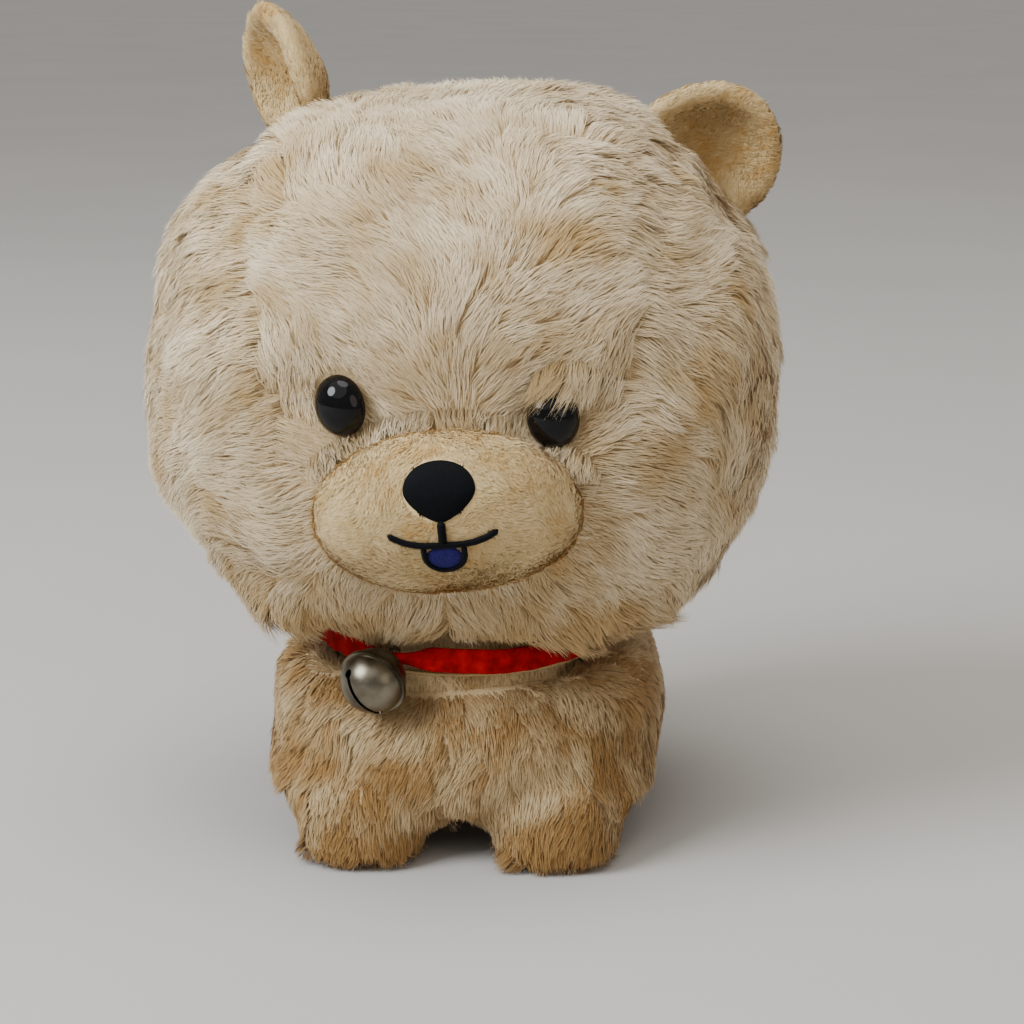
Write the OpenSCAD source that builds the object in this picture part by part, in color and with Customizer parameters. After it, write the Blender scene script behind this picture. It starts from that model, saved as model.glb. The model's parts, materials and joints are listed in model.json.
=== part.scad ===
// Stuffed toy dog: a large sewn head on a short four-legged body, with a ribbon collar and a round bell.
// Millimetres, +Z up, the dog looks along -Y. The origin is on the floor, under the middle of the toy.

/* [Body] */
// Width of the body over the pile
body_w = 129; // [105:1:160]
// Length of the body from chest to rump
body_l = 148; // [122:1:180]
// Height of the body without the legs
body_h = 50; // [42:1:60]
// Height of the belly above the floor
belly_z = 10; // [8:0.5:12]
// How far the chest stands in front of the origin
chest_y = 58; // [48:1:70]

/* [Legs] */
// Width and length of a leg
leg_w = 43; // [36:1:52]
// Distance between the left and the right leg axis
leg_track = 61; // [55:1:74]
// Radius of the flat part of a foot
sole_r = 16; // [13:0.5:19]

/* [Head] */
// Width of the head over the pile
head_w = 200; // [166:1:240]
// Depth of the head from forehead to nape
head_d = 160; // [133:1:192]
// Height of the crown above the widest place of the head
head_up = 92; // [76:1:110]
// Height of the cheeks below the widest place of the head
head_down = 84; // [80:1:100]
// Height of the widest place of the head above its neck opening
head_cut = 70; // [60:1:76]

/* [Neck] */
// Radius of the stuffed neck
neck_r = 42; // [35:0.5:46]

/* [Face] */
// Width of the muzzle
muzzle_w = 80; // [66:1:90]
// Height of the muzzle
muzzle_h = 52; // [43:1:54]
// How far the muzzle stands out of the face
muzzle_out = 17; // [12:1:21]
// How far the muzzle is sewn on out of level
muzzle_roll = 4; // [0:0.5:6]
// Width of an eye
eye_w = 15.6; // [13:0.2:18.7]
// Height of an eye
eye_h = 18; // [15:0.2:21.6]
// Distance between the eyes
eye_gap = 63; // [54:1:72]
// How much higher the right eye is sewn on than the left eye
eye_more = 3; // [0:0.5:4]
// Width of the nose
nose_w = 19.5; // [16:0.5:23]
// Width of the mouth
mouth_w = 31; // [26:0.5:36]

/* [Ears] */
// Radius of the rim of an ear
ear_r = 27; // [22:0.5:32]
// Height of the left ear above the head
ear_h = 27.5; // [25:0.5:33]
// How much more of the right ear stands out than of the left ear
ear_more = 6; // [0:0.5:8]
// Thickness of the two layers of an ear
ear_t = 6; // [4:0.2:7]
// How far an ear folds each way
ear_fold = 20; // [5:1:20]

/* [Tail] */
// Width of the tail
tail_w = 25; // [20:1:30]
// Length of the tail
tail_l = 46; // [38:1:55]

/* [Fabric] */
// Thickness of the long pile with its backing
pile_t = 8; // [6:0.5:9.5]
// Thickness of the short pile with its backing
short_t = 3; // [2.5:0.1:3.6]

/* [Collar] */
// Width of the ribbon
ribbon_w = 8; // [6.6:0.2:9.6]
// Thickness of the ribbon
ribbon_t = 1.4; // [1:0.1:1.7]
// Radius of the bell
bell_r = 10; // [8.4:0.1:12]
// Wall of the bell
bell_wall = 0.7; // [0.5:0.05:0.9]
// Radius of the ball in the bell
clapper_r = 3; // [2.4:0.1:3.6]
// How far the bell stands to the side of the chest
bell_side = 25; // [0:1:30]

/* [Hidden] */
$fn = 64;

gap = 0.3;            // room between pieces that touch
fill_gap = 2;         // room between a panel and the fibre filling behind it
neck_gap = 0.8;       // room for the neck to turn in its holes
hem = 0.8;            // width of the fabric left at the edge of a neck hole
seam = 0.25;          // room at a seam between two panels
body_n = 3.0;         // squareness of the body
head_n = 2.3;         // squareness of the head
leg_n = 2.5;          // squareness of a leg
cap_rings = 6;        // rings from a panel's middle to its edge

pile_gold = [0.80, 0.68, 0.50];
pile_cream = [0.85, 0.75, 0.61];
short_gold = [0.84, 0.70, 0.45];
fibre_white = [0.93, 0.92, 0.88];
thread_black = [0.03, 0.03, 0.05];
thread_blue = [0.12, 0.10, 0.35];
plastic_black = [0.02, 0.02, 0.02];
ribbon_red = [0.72, 0.04, 0.05];
bell_grey = [0.42, 0.42, 0.38];

body_c = [0, body_l / 2 - chest_y, belly_z + body_h / 2];
body_top = belly_z + body_h;

neck_y = -3;          // where the neck stands on the body
ribbon_lift = 2;      // room between the body and the ribbon
loop_r = 2.9;
loop_wire = 0.6;
ribbon_r = neck_r + gap + loop_r + loop_wire;
ribbon_z = body_top + ribbon_w / 2 + ribbon_lift;
bell_reach = bell_r + loop_r;
rim_out = 0.8;        // the rolled seam round the bell
nod_down = 2;
nod_up = 5;
chin_reach = 14;      // how far out of the neck the chin can come down on the ribbon
nod_room = (neck_r + chin_reach) * sin(nod_up) + 1;
hole_r = neck_r + neck_gap + hem;
plug_out = 2;         // how far the neck reaches into the head
plug_in = 5;          // and into the body, below its panels
plug_bottom = body_top - pile_t - plug_in;

// General shapes.

function unit(v) = v / norm(v);
function mix(a, b, t) = a + (b - a) * t;
function backwards(list) = [for (k = [1 : len(list)]) list[len(list) - k]];

// A direction by its angle to the side of the middle plane and its angle round the X axis,
// from the front over the top.
function aim(side, round) = [sin(side), -cos(side) * cos(round), cos(side) * sin(round)];

// A direction by its angle round the Z axis and its height above the level.
function look(turn, rise) = [cos(rise) * cos(turn), cos(rise) * sin(turn), sin(rise)];

// The direction a share t of the way from a to b.
function between(a, b, t) =
    let (w = acos(min(1, a * b))) w < 0.01 ? a : (a * sin((1 - t) * w) + b * sin(t * w)) / sin(w);

// How far a rounded block of half sizes s and squareness n reaches along direction d.
function block_r(d, s, n) =
    pow(pow(abs(d[0]) / s[0], n) + pow(abs(d[1]) / s[1], n) + pow(abs(d[2]) / s[2], n), -1 / n);

// 1 on the surface of a rounded block, less inside it.
function block_level(p, s, n) = pow(abs(p[0]) / s[0], n) + pow(abs(p[1]) / s[1], n) + pow(abs(p[2]) / s[2], n);

// How far a ray from point c along d goes before it leaves the round space that the neck needs.
function neck_exit(c, d) =
    let (a = d[0] * d[0] + d[1] * d[1], b = c[0] * d[0] + (c[1] - neck_y) * d[1],
         k = c[0] * c[0] + pow(c[1] - neck_y, 2) - pow(neck_r + neck_gap, 2))
    a < 0.0001 ? 1000 : (sqrt(b * b - a * k) - b) / a;

// The smaller of two lengths, rounded off where they meet.
function soft_min(a, b) = pow(pow(a, -12) + pow(b, -12), -1 / 12);

// The triangles of a grid of rows of points: closed joins the last column to the first.
function grid_faces(rows, columns, first = 0, closed = false, flip = false) = [
    for (j = [0 : rows - 2]) for (i = [0 : columns - (closed ? 1 : 2)])
        let (k = (i + 1) % columns,
             p = first + j * columns + i, q = first + j * columns + k,
             r = first + (j + 1) * columns + k, s = first + (j + 1) * columns + i)
        each flip ? [[p, r, q], [p, s, r]] : [[p, q, r], [p, r, s]]
];

// A closed solid round centre c, which reaches radius(d) along each direction d.
module blob(c, radius, turns = 28, rises = 14) {
    rings = [for (j = [1 : rises - 1]) for (i = [0 : turns - 1])
        let (d = look(360 * i / turns, -90 + 180 * j / rises)) c + d * radius(d)];
    n = turns * (rises - 1);
    ends = [c + look(0, -90) * radius([0, 0, -1]), c + look(0, 90) * radius([0, 0, 1])];
    polyhedron(concat(rings, ends), concat(
        grid_faces(rises - 1, turns, 0, true, true),
        [for (i = [0 : turns - 1]) [n, i, (i + 1) % turns]],
        [for (i = [0 : turns - 1]) [n + 1, n - turns + (i + 1) % turns, n - turns + i]]));
}

// A panel round the middle plane, from round angle r0(side) to r1(side), half(t) wide, between two surfaces.
module strip(c, outer, inner, r0, r1, half, columns, rows) {
    dirs = [for (j = [0 : rows]) for (i = [0 : columns])
        let (u = -1 + 2 * i / columns, side = half(j / rows) * u,
             round = mix(r0(side), r1(side), j / rows)) aim(side, round)];
    n = len(dirs);
    w = columns + 1;
    rim = concat([for (i = [0 : columns]) i], [for (j = [1 : rows]) j * w + columns],
                 [for (i = [1 : columns]) n - 1 - i], [for (j = [1 : rows - 1]) (rows - j) * w]);
    polyhedron([for (d = dirs) c + d * outer(d), for (d = dirs) c + d * inner(d)], concat(
        grid_faces(rows + 1, w, 0, false, true), grid_faces(rows + 1, w, n, false, false), rim_faces(rim, n)));
}

// The wall between an outer and an inner surface of n points each.
// The rim runs anticlockwise from outside.
function rim_faces(rim, n) = [for (i = [0 : len(rim) - 1])
    let (a = rim[i], b = rim[(i + 1) % len(rim)]) each [[a, b, b + n], [a, b + n, a + n]]];

// A panel round direction mid, out to a closed edge of directions, between two surfaces.
// The edge runs anticlockwise from outside.
module cap(c, outer, inner, mid, edge) {
    m = len(edge);
    dirs = concat([mid], [for (k = [1 : cap_rings]) for (e = edge) between(mid, e, k / cap_rings)]);
    n = len(dirs);
    rim = [for (i = [0 : m - 1]) 1 + (cap_rings - 1) * m + i];
    polyhedron([for (d = dirs) c + d * outer(d), for (d = dirs) c + d * inner(d)], concat(
        [for (i = [0 : m - 1]) [0, 1 + (i + 1) % m, 1 + i]],
        [for (i = [0 : m - 1]) [n, n + 1 + i, n + 1 + (i + 1) % m]],
        grid_faces(cap_rings, m, 1, true, false), grid_faces(cap_rings, m, n + 1, true, true),
        rim_faces(rim, n)));
}

// A closed band of directions from height rise0 to height rise1(turn), between two surfaces.
module band(c, outer, inner, rise0, rise1, turns, rows) {
    dirs = [for (j = [0 : rows]) for (i = [0 : turns - 1])
        let (t = 360 * i / turns) look(t, mix(rise0, rise1(t), j / rows))];
    n = len(dirs);
    polyhedron([for (d = dirs) c + d * outer(d), for (d = dirs) c + d * inner(d)], concat(
        grid_faces(rows + 1, turns, 0, true, true), grid_faces(rows + 1, turns, n, true, false),
        rim_faces([for (i = [0 : turns - 1]) i], n),
        rim_faces([for (i = [0 : turns - 1]) n - 1 - i], n)));
}

// The body.

body_s = [body_w / 2, body_l / 2, body_h / 2];
function body_outer(d) = block_r(d, body_s, body_n);
function body_inner(d) = body_outer(d) - pile_t;
function body_wall(d) = d[2] > 0 ? max(body_inner(d), neck_exit(body_c, d)) : body_inner(d);

// The bell hangs as steeply as the chest behind it allows.
steepest = 20;
function bell_middle(slope) =
    let (out = ribbon_r + bell_reach * cos(slope))
    [-out * sin(bell_side), neck_y - out * cos(bell_side), ribbon_z - bell_reach * sin(slope)];
function bell_clears(slope) =
    min([for (turn = [0 : 20 : 340]) for (rise = [-80 : 20 : 0])
        block_level(bell_middle(slope) + look(turn, rise) * (bell_r + rim_out + gap) - body_c,
                    body_s, body_n)]) > 1;
function hanging(slope) = slope < -10 || bell_clears(slope) ? slope : hanging(slope - 1);
bell_slope = hanging(steepest);
bell_z = bell_middle(bell_slope)[2];
head_bottom = max(ribbon_z + ribbon_w / 2 + nod_room,
                  bell_z + bell_r + rim_out + (ribbon_r + 2 * bell_r) * sin(nod_down) + 5 * gap);
head_c = [0, neck_y, head_bottom + head_cut];
plug_top = head_bottom + plug_out;

// The direction from the body's middle to the neck hole's edge, at an angle round the neck from the front.
function body_hole(turn) =
    let (x = hole_r * sin(turn), y = neck_y - body_c[1] - hole_r * cos(turn),
         level = 1 - pow(abs(x) / body_s[0], body_n) - pow(abs(y) / body_s[1], body_n))
    unit([x, y, body_s[2] * pow(max(level, 0.02), 1 / body_n)]);
function round_of(d) = let (r = atan2(d[2], -d[1])) r < 0 ? r + 360 : r;
function side_of(d) = asin(d[0]);

belly_side = 26;      // half width of the chest and belly panel, as an angle
belly_end = 175;      // the panel ends below the tail
function belly_half(t) = mix(belly_side, 4, pow(1 - t, 3));
// Angle round the neck at which the belly panel's edge meets the neck hole.
function hole_at(side, hole, low, high, k = 16) = k == 0 ? low :
    let (m = (low + high) / 2)
    side_of(hole(m)) < side ? hole_at(side, hole, m, high, k - 1) : hole_at(side, hole, low, m, k - 1);

function belly_round(t, side) = mix(belly_end - 360, belly_to(side), t);
function belly_to(side) = round_of(body_hole(hole_at(abs(side), function (m) body_hole(m), 0, 80)));

// The panel along the chest and the belly.
module belly_gusset() {
    color(pile_gold)
    strip(body_c, function (d) body_outer(d), function (d) body_wall(d),
          function (s) belly_end - 360, function (s) belly_to(s), function (t) belly_half(t), 8, 20);
}

module body_side(hand) {
    spread = belly_side + seam;
    start = hole_at(spread, function (m) body_hole(m), 0, 80);
    edge = concat(
        [for (k = [0 : 13]) let (m = mix(start, 180 - seam, k / 14)) body_hole(m)],
        [for (k = [0 : 9]) aim(seam / 2, mix(round_of(body_hole(180)), belly_end + 1, k / 10))],
        [for (k = [0 : 19]) let (t = k / 20) aim(belly_half(t) + seam, belly_round(t, belly_half(t)))]);
    color(pile_gold) mirror([hand < 0 ? 1 : 0, 0, 0])
    cap(body_c, function (d) body_outer(d), function (d) body_wall(d), [1, 0, 0], backwards(edge));
}

module body_stuffing() {
    color(fibre_white)
    blob(body_c, function (d) let (r = body_inner(d) - fill_gap)
         d[2] > 0 ? min(r, (plug_bottom - gap - body_c[2]) / d[2]) : r, 24, 12);
}

tag_x = 9;            // how far the tag stands beside the tail
tag_t = 0.5;
tag_out = 9;
tag_h = 14;

// A blank satin tag that stands out of the seam below the tail.
module care_label() {
    color("white") translate([tag_x, body_c[1] + body_l / 2 + gap / 3, body_c[2] - tag_h / 2])
    cube([tag_t, tag_out, tag_h]);
}

// The legs, each a cover, a sole and its filling.

leg_z = 9;            // height of a leg's middle
foot_out = 3;         // how far the front feet stand out of the chest, and the rear ones in from the rump
leg_front_y = -chest_y + leg_w / 2 - foot_out;
leg_rear_y = body_c[1] + body_l / 2 - leg_w / 2 - foot_out;
leg_cover_t = min(pile_t, 6);
thin_r = 16;          // nearer to a leg's middle than this, its cover gets thinner
sole_t = 3;
sole_gap = 0.4;       // room between a sole and the leg's cover
sole_rise = atan(leg_z / (sole_r + sole_gap));
leg_stop = body_s + [1, 1, 1] * 3 * gap;  // the rounded block that a leg's cover stays out of

function into_body(o, d, low, high, k = 14) = k == 0 ? low :
    let (m = (low + high) / 2)
    block_level(o + m * d - body_c, leg_stop, body_n) < 1
        ? into_body(o, d, low, m, k - 1) : into_body(o, d, m, high, k - 1);

function leg_block(d) = block_r(d, [leg_w / 2, leg_w / 2, leg_w / 2], leg_n);
function leg_outer(o, d) =
    let (r1 = d[2] < 0 ? min(leg_block(d), leg_z / -d[2]) : leg_block(d))
    block_level(o + r1 * d - body_c, leg_stop, body_n) < 1 ? into_body(o, d, 0, r1) : r1;

function leg_inner(o, d) = let (r = leg_outer(o, d)) r - leg_cover_t * min(1, r / thin_r);

// The height, as an angle from the leg's middle, at which the leg's cover meets the body.
function leg_meets(o, turn, low = -15, high = 62, k = 12) = k == 0 ? low :
    let (m = (low + high) / 2, d = look(turn, m))
    block_level(o + leg_block(d) * d - body_c, leg_stop, body_n) < 1
        ? leg_meets(o, turn, low, m, k - 1) : leg_meets(o, turn, m, high, k - 1);

function leg_at(hand, row) = [hand * leg_track / 2, row > 0 ? leg_rear_y : leg_front_y, leg_z];

module leg(hand, row) {
    o = leg_at(hand, row);
    color(pile_gold)
    band(o, function (d) leg_outer(o, d), function (d) leg_inner(o, d),
         -sole_rise, function (t) leg_meets(o, t), 28, 7);
}

module sole(hand, row) {
    o = leg_at(hand, row);
    color(pile_gold) translate([o[0], o[1], 0])
    cylinder(sole_t, r1 = sole_r, r2 = sole_r - sole_t / tan(sole_rise));
}

module leg_stuffing(hand, row) {
    o = leg_at(hand, row);
    color(fibre_white)
    blob(o, function (d) let (r = max(1, leg_inner(o, d) - fill_gap - gap))
         d[2] < 0 ? min(r, (leg_z - sole_t - gap) / -d[2]) : r, 18, 8);
}

// The tail.

tail_lean = 24;       // how far the tail leans back from upright
tail_up = 0.3;        // how high on the rump the tail is sewn on, for each unit towards the rear
tail_cover_t = 5;
tail_dir = unit([0, 1, tail_up]);
tail_out = 2.4;       // how far the tail's pivot stands out of the rump
tail_dip = 1.5;       // how far the tail's rounded foot reaches below its pivot
tail_flat = 1.5;      // how much flatter than wide the tail is, on each side
tail_root = body_c + tail_dir * (body_outer(tail_dir) + tail_out);
tail_c = tail_root + [0, sin(tail_lean), cos(tail_lean)] * (tail_l / 2 - tail_dip);
function tail_outer(d) = block_r(d, [tail_w / 2, tail_w / 2 - tail_flat, tail_l / 2], 2.1);

module on_tail() {
    translate(tail_c) rotate([-tail_lean, 0, 0]) children();
}

module tail_cover(hand) {
    edge = [for (k = [0 : 27]) aim(seam, -360 * k / 28)];
    color(pile_gold) on_tail() mirror([hand < 0 ? 1 : 0, 0, 0])
    cap([0, 0, 0], function (d) tail_outer(d), function (d) tail_outer(d) - tail_cover_t, [1, 0, 0], edge);
}

module tail_stuffing() {
    color(fibre_white) on_tail() blob([0, 0, 0], function (d) tail_outer(d) - tail_cover_t - 2 * gap, 14, 8);
}

// The neck.

module neck_stuffing() {
    color(fibre_white) translate([0, neck_y, plug_bottom]) cylinder(plug_top - plug_bottom, r = neck_r);
}

thread_r = 0.5;

// The ladder stitch that draws the head and the body together.
module neck_stitches() {
    color(pile_gold) translate([0, neck_y, body_top + thread_r + gap])
    rotate_extrude() translate([neck_r + thread_r + gap / 2, 0]) circle(thread_r, $fn = 24);
}

// The head.

head_s = head_w / 2;
function head_outer(d) =
    let (r = block_r(d, [head_s, head_d / 2, d[2] > 0 ? head_up : head_down], head_n))
    d[2] < 0 ? min(r, head_cut / -d[2]) : r;
function head_inner(d) = let (r = head_outer(d) - pile_t) d[2] < 0 ? min(r, (head_cut - pile_t) / -d[2]) : r;
function head_wall(d) = d[2] < 0 ? max(head_inner(d), neck_exit(head_c, d)) : head_inner(d);
function head_hole(turn) = unit([hole_r * sin(turn), -hole_r * cos(turn), -head_cut]);

brow = -12;           // round angle of the forehead panel's lower edge, behind the muzzle
crown = 63;           // round angle of the seam across the crown
brow_side = 33;
crown_side = 40;
nape_side = 22;

function forehead_half(t) = mix(brow_side, crown_side, t);
function back_half(t) = mix(crown_side, nape_side, t);
function nape_round(side) = 180 + asin(min(1, head_cut / (norm([hole_r, head_cut]) * cos(side))));

eye_z = head_c[2] + 1.4;
eye_turn = 22;
function eye_at(hand) = let (x = hand * eye_gap / 2,
    y = head_d / 2 * pow(1 - pow(abs(x) / head_s, head_n), 1 / head_n))
    [x, neck_y - y, eye_z + (hand < 0 ? eye_more : 0)];

// Puts its children on an eye's axis, with +Z out of the face.
module on_eye(hand) {
    translate(eye_at(hand)) rotate([90, 0, hand * eye_turn]) children();
}

washer_r = 7.4;
washer_t = 1.6;
washer_room = 2.6;    // room between a panel and the washer, which lies askew to it
post_r = 2.4;
post_l = 6;           // how far a post reaches behind the panel
eye_sink = 3.5;       // how deep in the pile the dome of an eye begins
eye_flat = 0.9;       // height of a dome for each unit of its radius
backing = 1.8;        // what is left of a panel under an eye
eye_seat = eye_h / 2 + 0.8;

// The hollow in the pile that an eye sits in, and the hole for its post.
module eye_hole(hand) {
    on_eye(hand) {
        translate([0, 0, backing - pile_t]) cylinder(pile_t + 20, r = eye_seat);
        translate([0, 0, -2 * pile_t]) cylinder(2 * pile_t, r = post_r + gap);
    }
}

module forehead_gusset() {
    color(pile_cream) difference() {
        strip(head_c, function (d) head_outer(d), function (d) head_wall(d),
              function (s) brow, function (s) crown - seam / 2,
              function (t) forehead_half(t) - seam / 2, 10, 8);
        for (hand = [-1, 1]) eye_hole(hand);
    }
}

module head_back() {
    color(pile_cream)
    strip(head_c, function (d) head_outer(d), function (d) head_wall(d),
          function (s) crown + seam / 2, function (s) nape_round(s),
          function (t) back_half(t) - seam / 2, 10, 16);
}

module cheek(hand) {
    nape = hole_at(nape_side + seam, function (m) head_hole(180 - m), 0, 90);
    edge = concat(
        [for (k = [0 : 5]) aim(seam / 2, mix(brow - seam, -asin(head_cut / norm([hole_r, head_cut])), k / 6))],
        [for (k = [0 : 9]) head_hole(mix(0.3, 180 - nape, k / 10))],
        [for (k = [0 : 15]) let (t = 1 - k / 16)
            aim(back_half(t) + seam / 2, mix(crown, nape_round(back_half(t)), t))],
        [for (k = [0 : 7]) let (t = 1 - k / 8) aim(forehead_half(t) + seam / 2, mix(brow, crown, t))],
        [for (k = [0 : 4]) aim(mix(brow_side, 2, k / 4), brow - seam)]);
    color(pile_cream) mirror([hand < 0 ? 1 : 0, 0, 0])
    cap(head_c, function (d) head_outer(d), function (d) head_wall(d), [1, 0, 0], edge);
}

module head_stuffing() {
    color(fibre_white) difference() {
        blob(head_c, function (d) let (r = head_inner(d) - fill_gap)
             d[2] < 0 ? soft_min(r, (head_cut - pile_t - fill_gap) / -d[2]) : r, 28, 14);
        for (hand = [-1, 1]) on_eye(hand) translate([0, 0, -pile_t - post_l])
            cylinder(4 * pile_t, r = washer_r + 2 * gap);
    }
}

// The eyes, the muzzle and its embroidery.

// A domed black eye on a post, which passes through the panel.
module eye(hand) {
    color(plastic_black) on_eye(hand) {
        hull() for (lift = [-1, 1])
            translate([0, lift * (eye_h - eye_w) / 2, -eye_sink]) intersection() {
                scale([1, 1, eye_flat]) sphere(eye_w / 2, $fn = 32);
                translate([0, 0, eye_h]) cube(2 * eye_h, center = true);
            }
        hull() for (lift = [-1, 1])
            translate([0, lift * (eye_h - eye_w) / 2, backing + gap - pile_t])
            cylinder(pile_t - backing - eye_sink - gap / 2, r = eye_w / 2 - gap, $fn = 32);
        translate([0, 0, -pile_t - post_l]) cylinder(post_l + backing + 1, r = post_r);
    }
}

// The lock washer pressed onto an eye's post behind the panel.
module eye_washer(hand) {
    color("ghostwhite") on_eye(hand) translate([0, 0, -pile_t - washer_room - washer_t]) difference() {
        cylinder(washer_t, r = washer_r);
        translate([0, 0, -1]) cylinder(4, r = post_r + 0.05);
    }
}

muzzle_z = head_c[2] - 24.5;
muzzle_top = 0.94;    // height of the muzzle's upper half, for each unit of half its height
muzzle_low = 1.04;    // and of its lower half
muzzle_edge = 2.2;    // thickness of the muzzle at its seam
muzzle_n = 2.4;       // squareness of the muzzle from the side
muzzle_round = 0.62;  // how blunt its front is: less is blunter

// The head's front surface over a point of the face.
function face_y(x, z) =
    let (c = z > head_c[2] ? head_up : head_down,
         level = 1 - pow(abs(x) / head_s, head_n) - pow(abs(z - head_c[2]) / c, head_n))
    neck_y - head_d / 2 * pow(max(level, 0.05), 1 / head_n);

// A point of the muzzle's outline shape at share s of its size and an angle.
function muzzle_at(s, turn, grow = 0) =
    let (x = s * (muzzle_w / 2 + grow) * cos(turn),
         z = s * (muzzle_h / 2 + grow) * sin(turn) * (sin(turn) > 0 ? muzzle_top : muzzle_low))
    [x * cos(muzzle_roll) - z * sin(muzzle_roll), z * cos(muzzle_roll) + x * sin(muzzle_roll) + muzzle_z];

function muzzle_rise(s) = muzzle_edge + muzzle_out * pow(max(0, 1 - pow(s, muzzle_n)), muzzle_round);

// How far out a point of the face lies on the muzzle: 1 at its seam.
function muzzle_share(x, z) =
    let (u = x * cos(muzzle_roll) + (z - muzzle_z) * sin(muzzle_roll),
         v = (z - muzzle_z) * cos(muzzle_roll) - x * sin(muzzle_roll))
    norm([u / (muzzle_w / 2), v / (muzzle_h / 2) / (v > 0 ? muzzle_top : muzzle_low)]);
function muzzle_y(x, z) = face_y(x, z) - gap - muzzle_rise(muzzle_share(x, z));

// A closed pillow on the face between two depths that are functions of the share of its size.
module pillow(front, back, grow, turns = 28, rings = 6) {
    cells = concat([[0, 0]], [for (k = [1 : rings]) for (i = [0 : turns - 1])
        [pow(k / rings, 0.75), 360 * i / turns]]);
    n = len(cells);
    function spot(cell, depth) =
        let (q = muzzle_at(cell[0], cell[1], grow)) [q[0], face_y(q[0], q[1]) - gap - depth(cell[0]), q[1]];
    rim = [for (i = [0 : turns - 1]) 1 + (rings - 1) * turns + i];
    polyhedron([for (q = cells) spot(q, front), for (q = cells) spot(q, back)], concat(
        [for (i = [0 : turns - 1]) [0, 1 + (i + 1) % turns, 1 + i]],
        [for (i = [0 : turns - 1]) [n, n + 1 + i, n + 1 + (i + 1) % turns]],
        grid_faces(rings, turns, 1, true, false), grid_faces(rings, turns, n + 1, true, true),
        rim_faces(rim, n)));
}

module muzzle_cover() {
    color(short_gold) pillow(function (s) muzzle_rise(s), function (s) max(0, muzzle_rise(s) - short_t), 0);
}

module muzzle_stuffing() {
    color(fibre_white)
    pillow(function (s) max(0.5, muzzle_rise(s) - short_t - 3 * gap), function (s) 0, -4, 20, 4);
}

stitch_t = 1;

// A flat embroidered patch on the muzzle, over a list of outline points about a middle point.
module embroidery(mid, outline, rings = 3) {
    m = len(outline);
    cells = concat([mid], [for (k = [1 : rings]) for (q = outline) mix(mid, q, k / rings)]);
    n = len(cells);
    rim = [for (i = [0 : m - 1]) 1 + (rings - 1) * m + i];
    polyhedron([for (q = cells) [q[0], muzzle_y(q[0], q[1]) - gap - stitch_t, q[1]],
                for (q = cells) [q[0], muzzle_y(q[0], q[1]) - gap, q[1]]], concat(
        [for (i = [0 : m - 1]) [0, 1 + (i + 1) % m, 1 + i]],
        [for (i = [0 : m - 1]) [n, n + 1 + i, n + 1 + (i + 1) % m]],
        grid_faces(rings, m, 1, true, false), grid_faces(rings, m, n + 1, true, true), rim_faces(rim, n)));
}

function leaned(x, z) =
    [x * cos(muzzle_roll) - z * sin(muzzle_roll), muzzle_z + z * cos(muzzle_roll) + x * sin(muzzle_roll)];
nose_h = nose_w * 0.92;
nose_z = 10.4;        // how high above the muzzle's middle the nose sits
nose_taper = 0.35;
mouth_z = -5.5;
mouth_lift = 4.4;     // how far the corners of the mouth turn up
line_w = 1.5;
stitch_gap = 0.4;     // room between one embroidered shape and the next
tongue_w = mouth_w * 0.4;
tongue_h = mouth_w * 0.27;

module nose_embroidery() {
    outline = [for (i = [0 : 23]) let (t = 15 * i, taper = sin(t) < 0 ? 1 - nose_taper * pow(-sin(t), 1.5) : 1)
        leaned(nose_w / 2 * cos(t) * taper, nose_z + nose_h / 2 * sin(t))];
    color(thread_black) embroidery(leaned(0, nose_z), outline);
}

// The mouth: a short line below the nose and two upturned curves, as one bent ribbon of stitches.
module mouth_embroidery() {
    half = mouth_w / 2;
    function smile(x) = mouth_z + mouth_lift * pow(abs(x) / half, 2);
    left = [for (k = [0 : 6]) let (x = -half + (half - line_w / 2) * k / 6) [x, smile(x) + line_w / 2]];
    right = [for (k = [0 : 6]) let (x = line_w / 2 + (half - line_w / 2) * k / 6) [x, smile(x) + line_w / 2]];
    under = [for (k = [0 : 12]) let (x = half - mouth_w * k / 12) [x, smile(x) - line_w / 2]];
    top = nose_z - nose_h / 2 - stitch_gap;
    flat = concat(left, [[-line_w / 2, top], [line_w / 2, top]], right, under);
    color(thread_black) thin_patch([for (q = flat) leaned(q[0], q[1])]);
}

// A thin patch on the muzzle whose faces follow its outline only.
module thin_patch(outline) {
    y0 = min([for (q = outline) muzzle_y(q[0], q[1])]);
    y1 = max([for (q = outline) muzzle_y(q[0], q[1])]);
    intersection() {
        translate([0, y1 + 5, 0]) rotate([90, 0, 0]) linear_extrude(y1 - y0 + 12) polygon(outline);
        pillow(function (s) muzzle_rise(s) + gap + stitch_t, function (s) muzzle_rise(s) + gap, 0);
    }
}

module tongue_embroidery() {
    top = mouth_z - line_w / 2 - stitch_gap;
    outline = concat([for (k = [0 : 6]) leaned(mix(tongue_w / 2, -tongue_w / 2, k / 6), top)],
                     [for (k = [1 : 11]) let (t = 180 + 15 * k)
                         leaned(tongue_w / 2 * cos(t), top + tongue_h * sin(t))]);
    color(thread_blue) embroidery(leaned(0, top - tongue_h / 2.4), outline, 2);
}

// The ears, two layers each.

ear_open = 65;        // half the angle of the ball's part that an ear is
ear_bowl = ear_r / sin(ear_open);
ear_depth = ear_bowl * (1 - cos(ear_open));
ear_behind = 0.16;    // how far behind the neck's axis the ears stand, for each unit outwards
ear_layer = ear_t / 2 - gap / 2;

// Where each ear stands: angle up the side of the head, angle of the ear itself, its twist,
// its lean and its height.
ear_place_left = [42.5, 43, 12, 12, ear_h];
ear_place_right = [58, 79, 62, 4, ear_h + ear_more];

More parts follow.
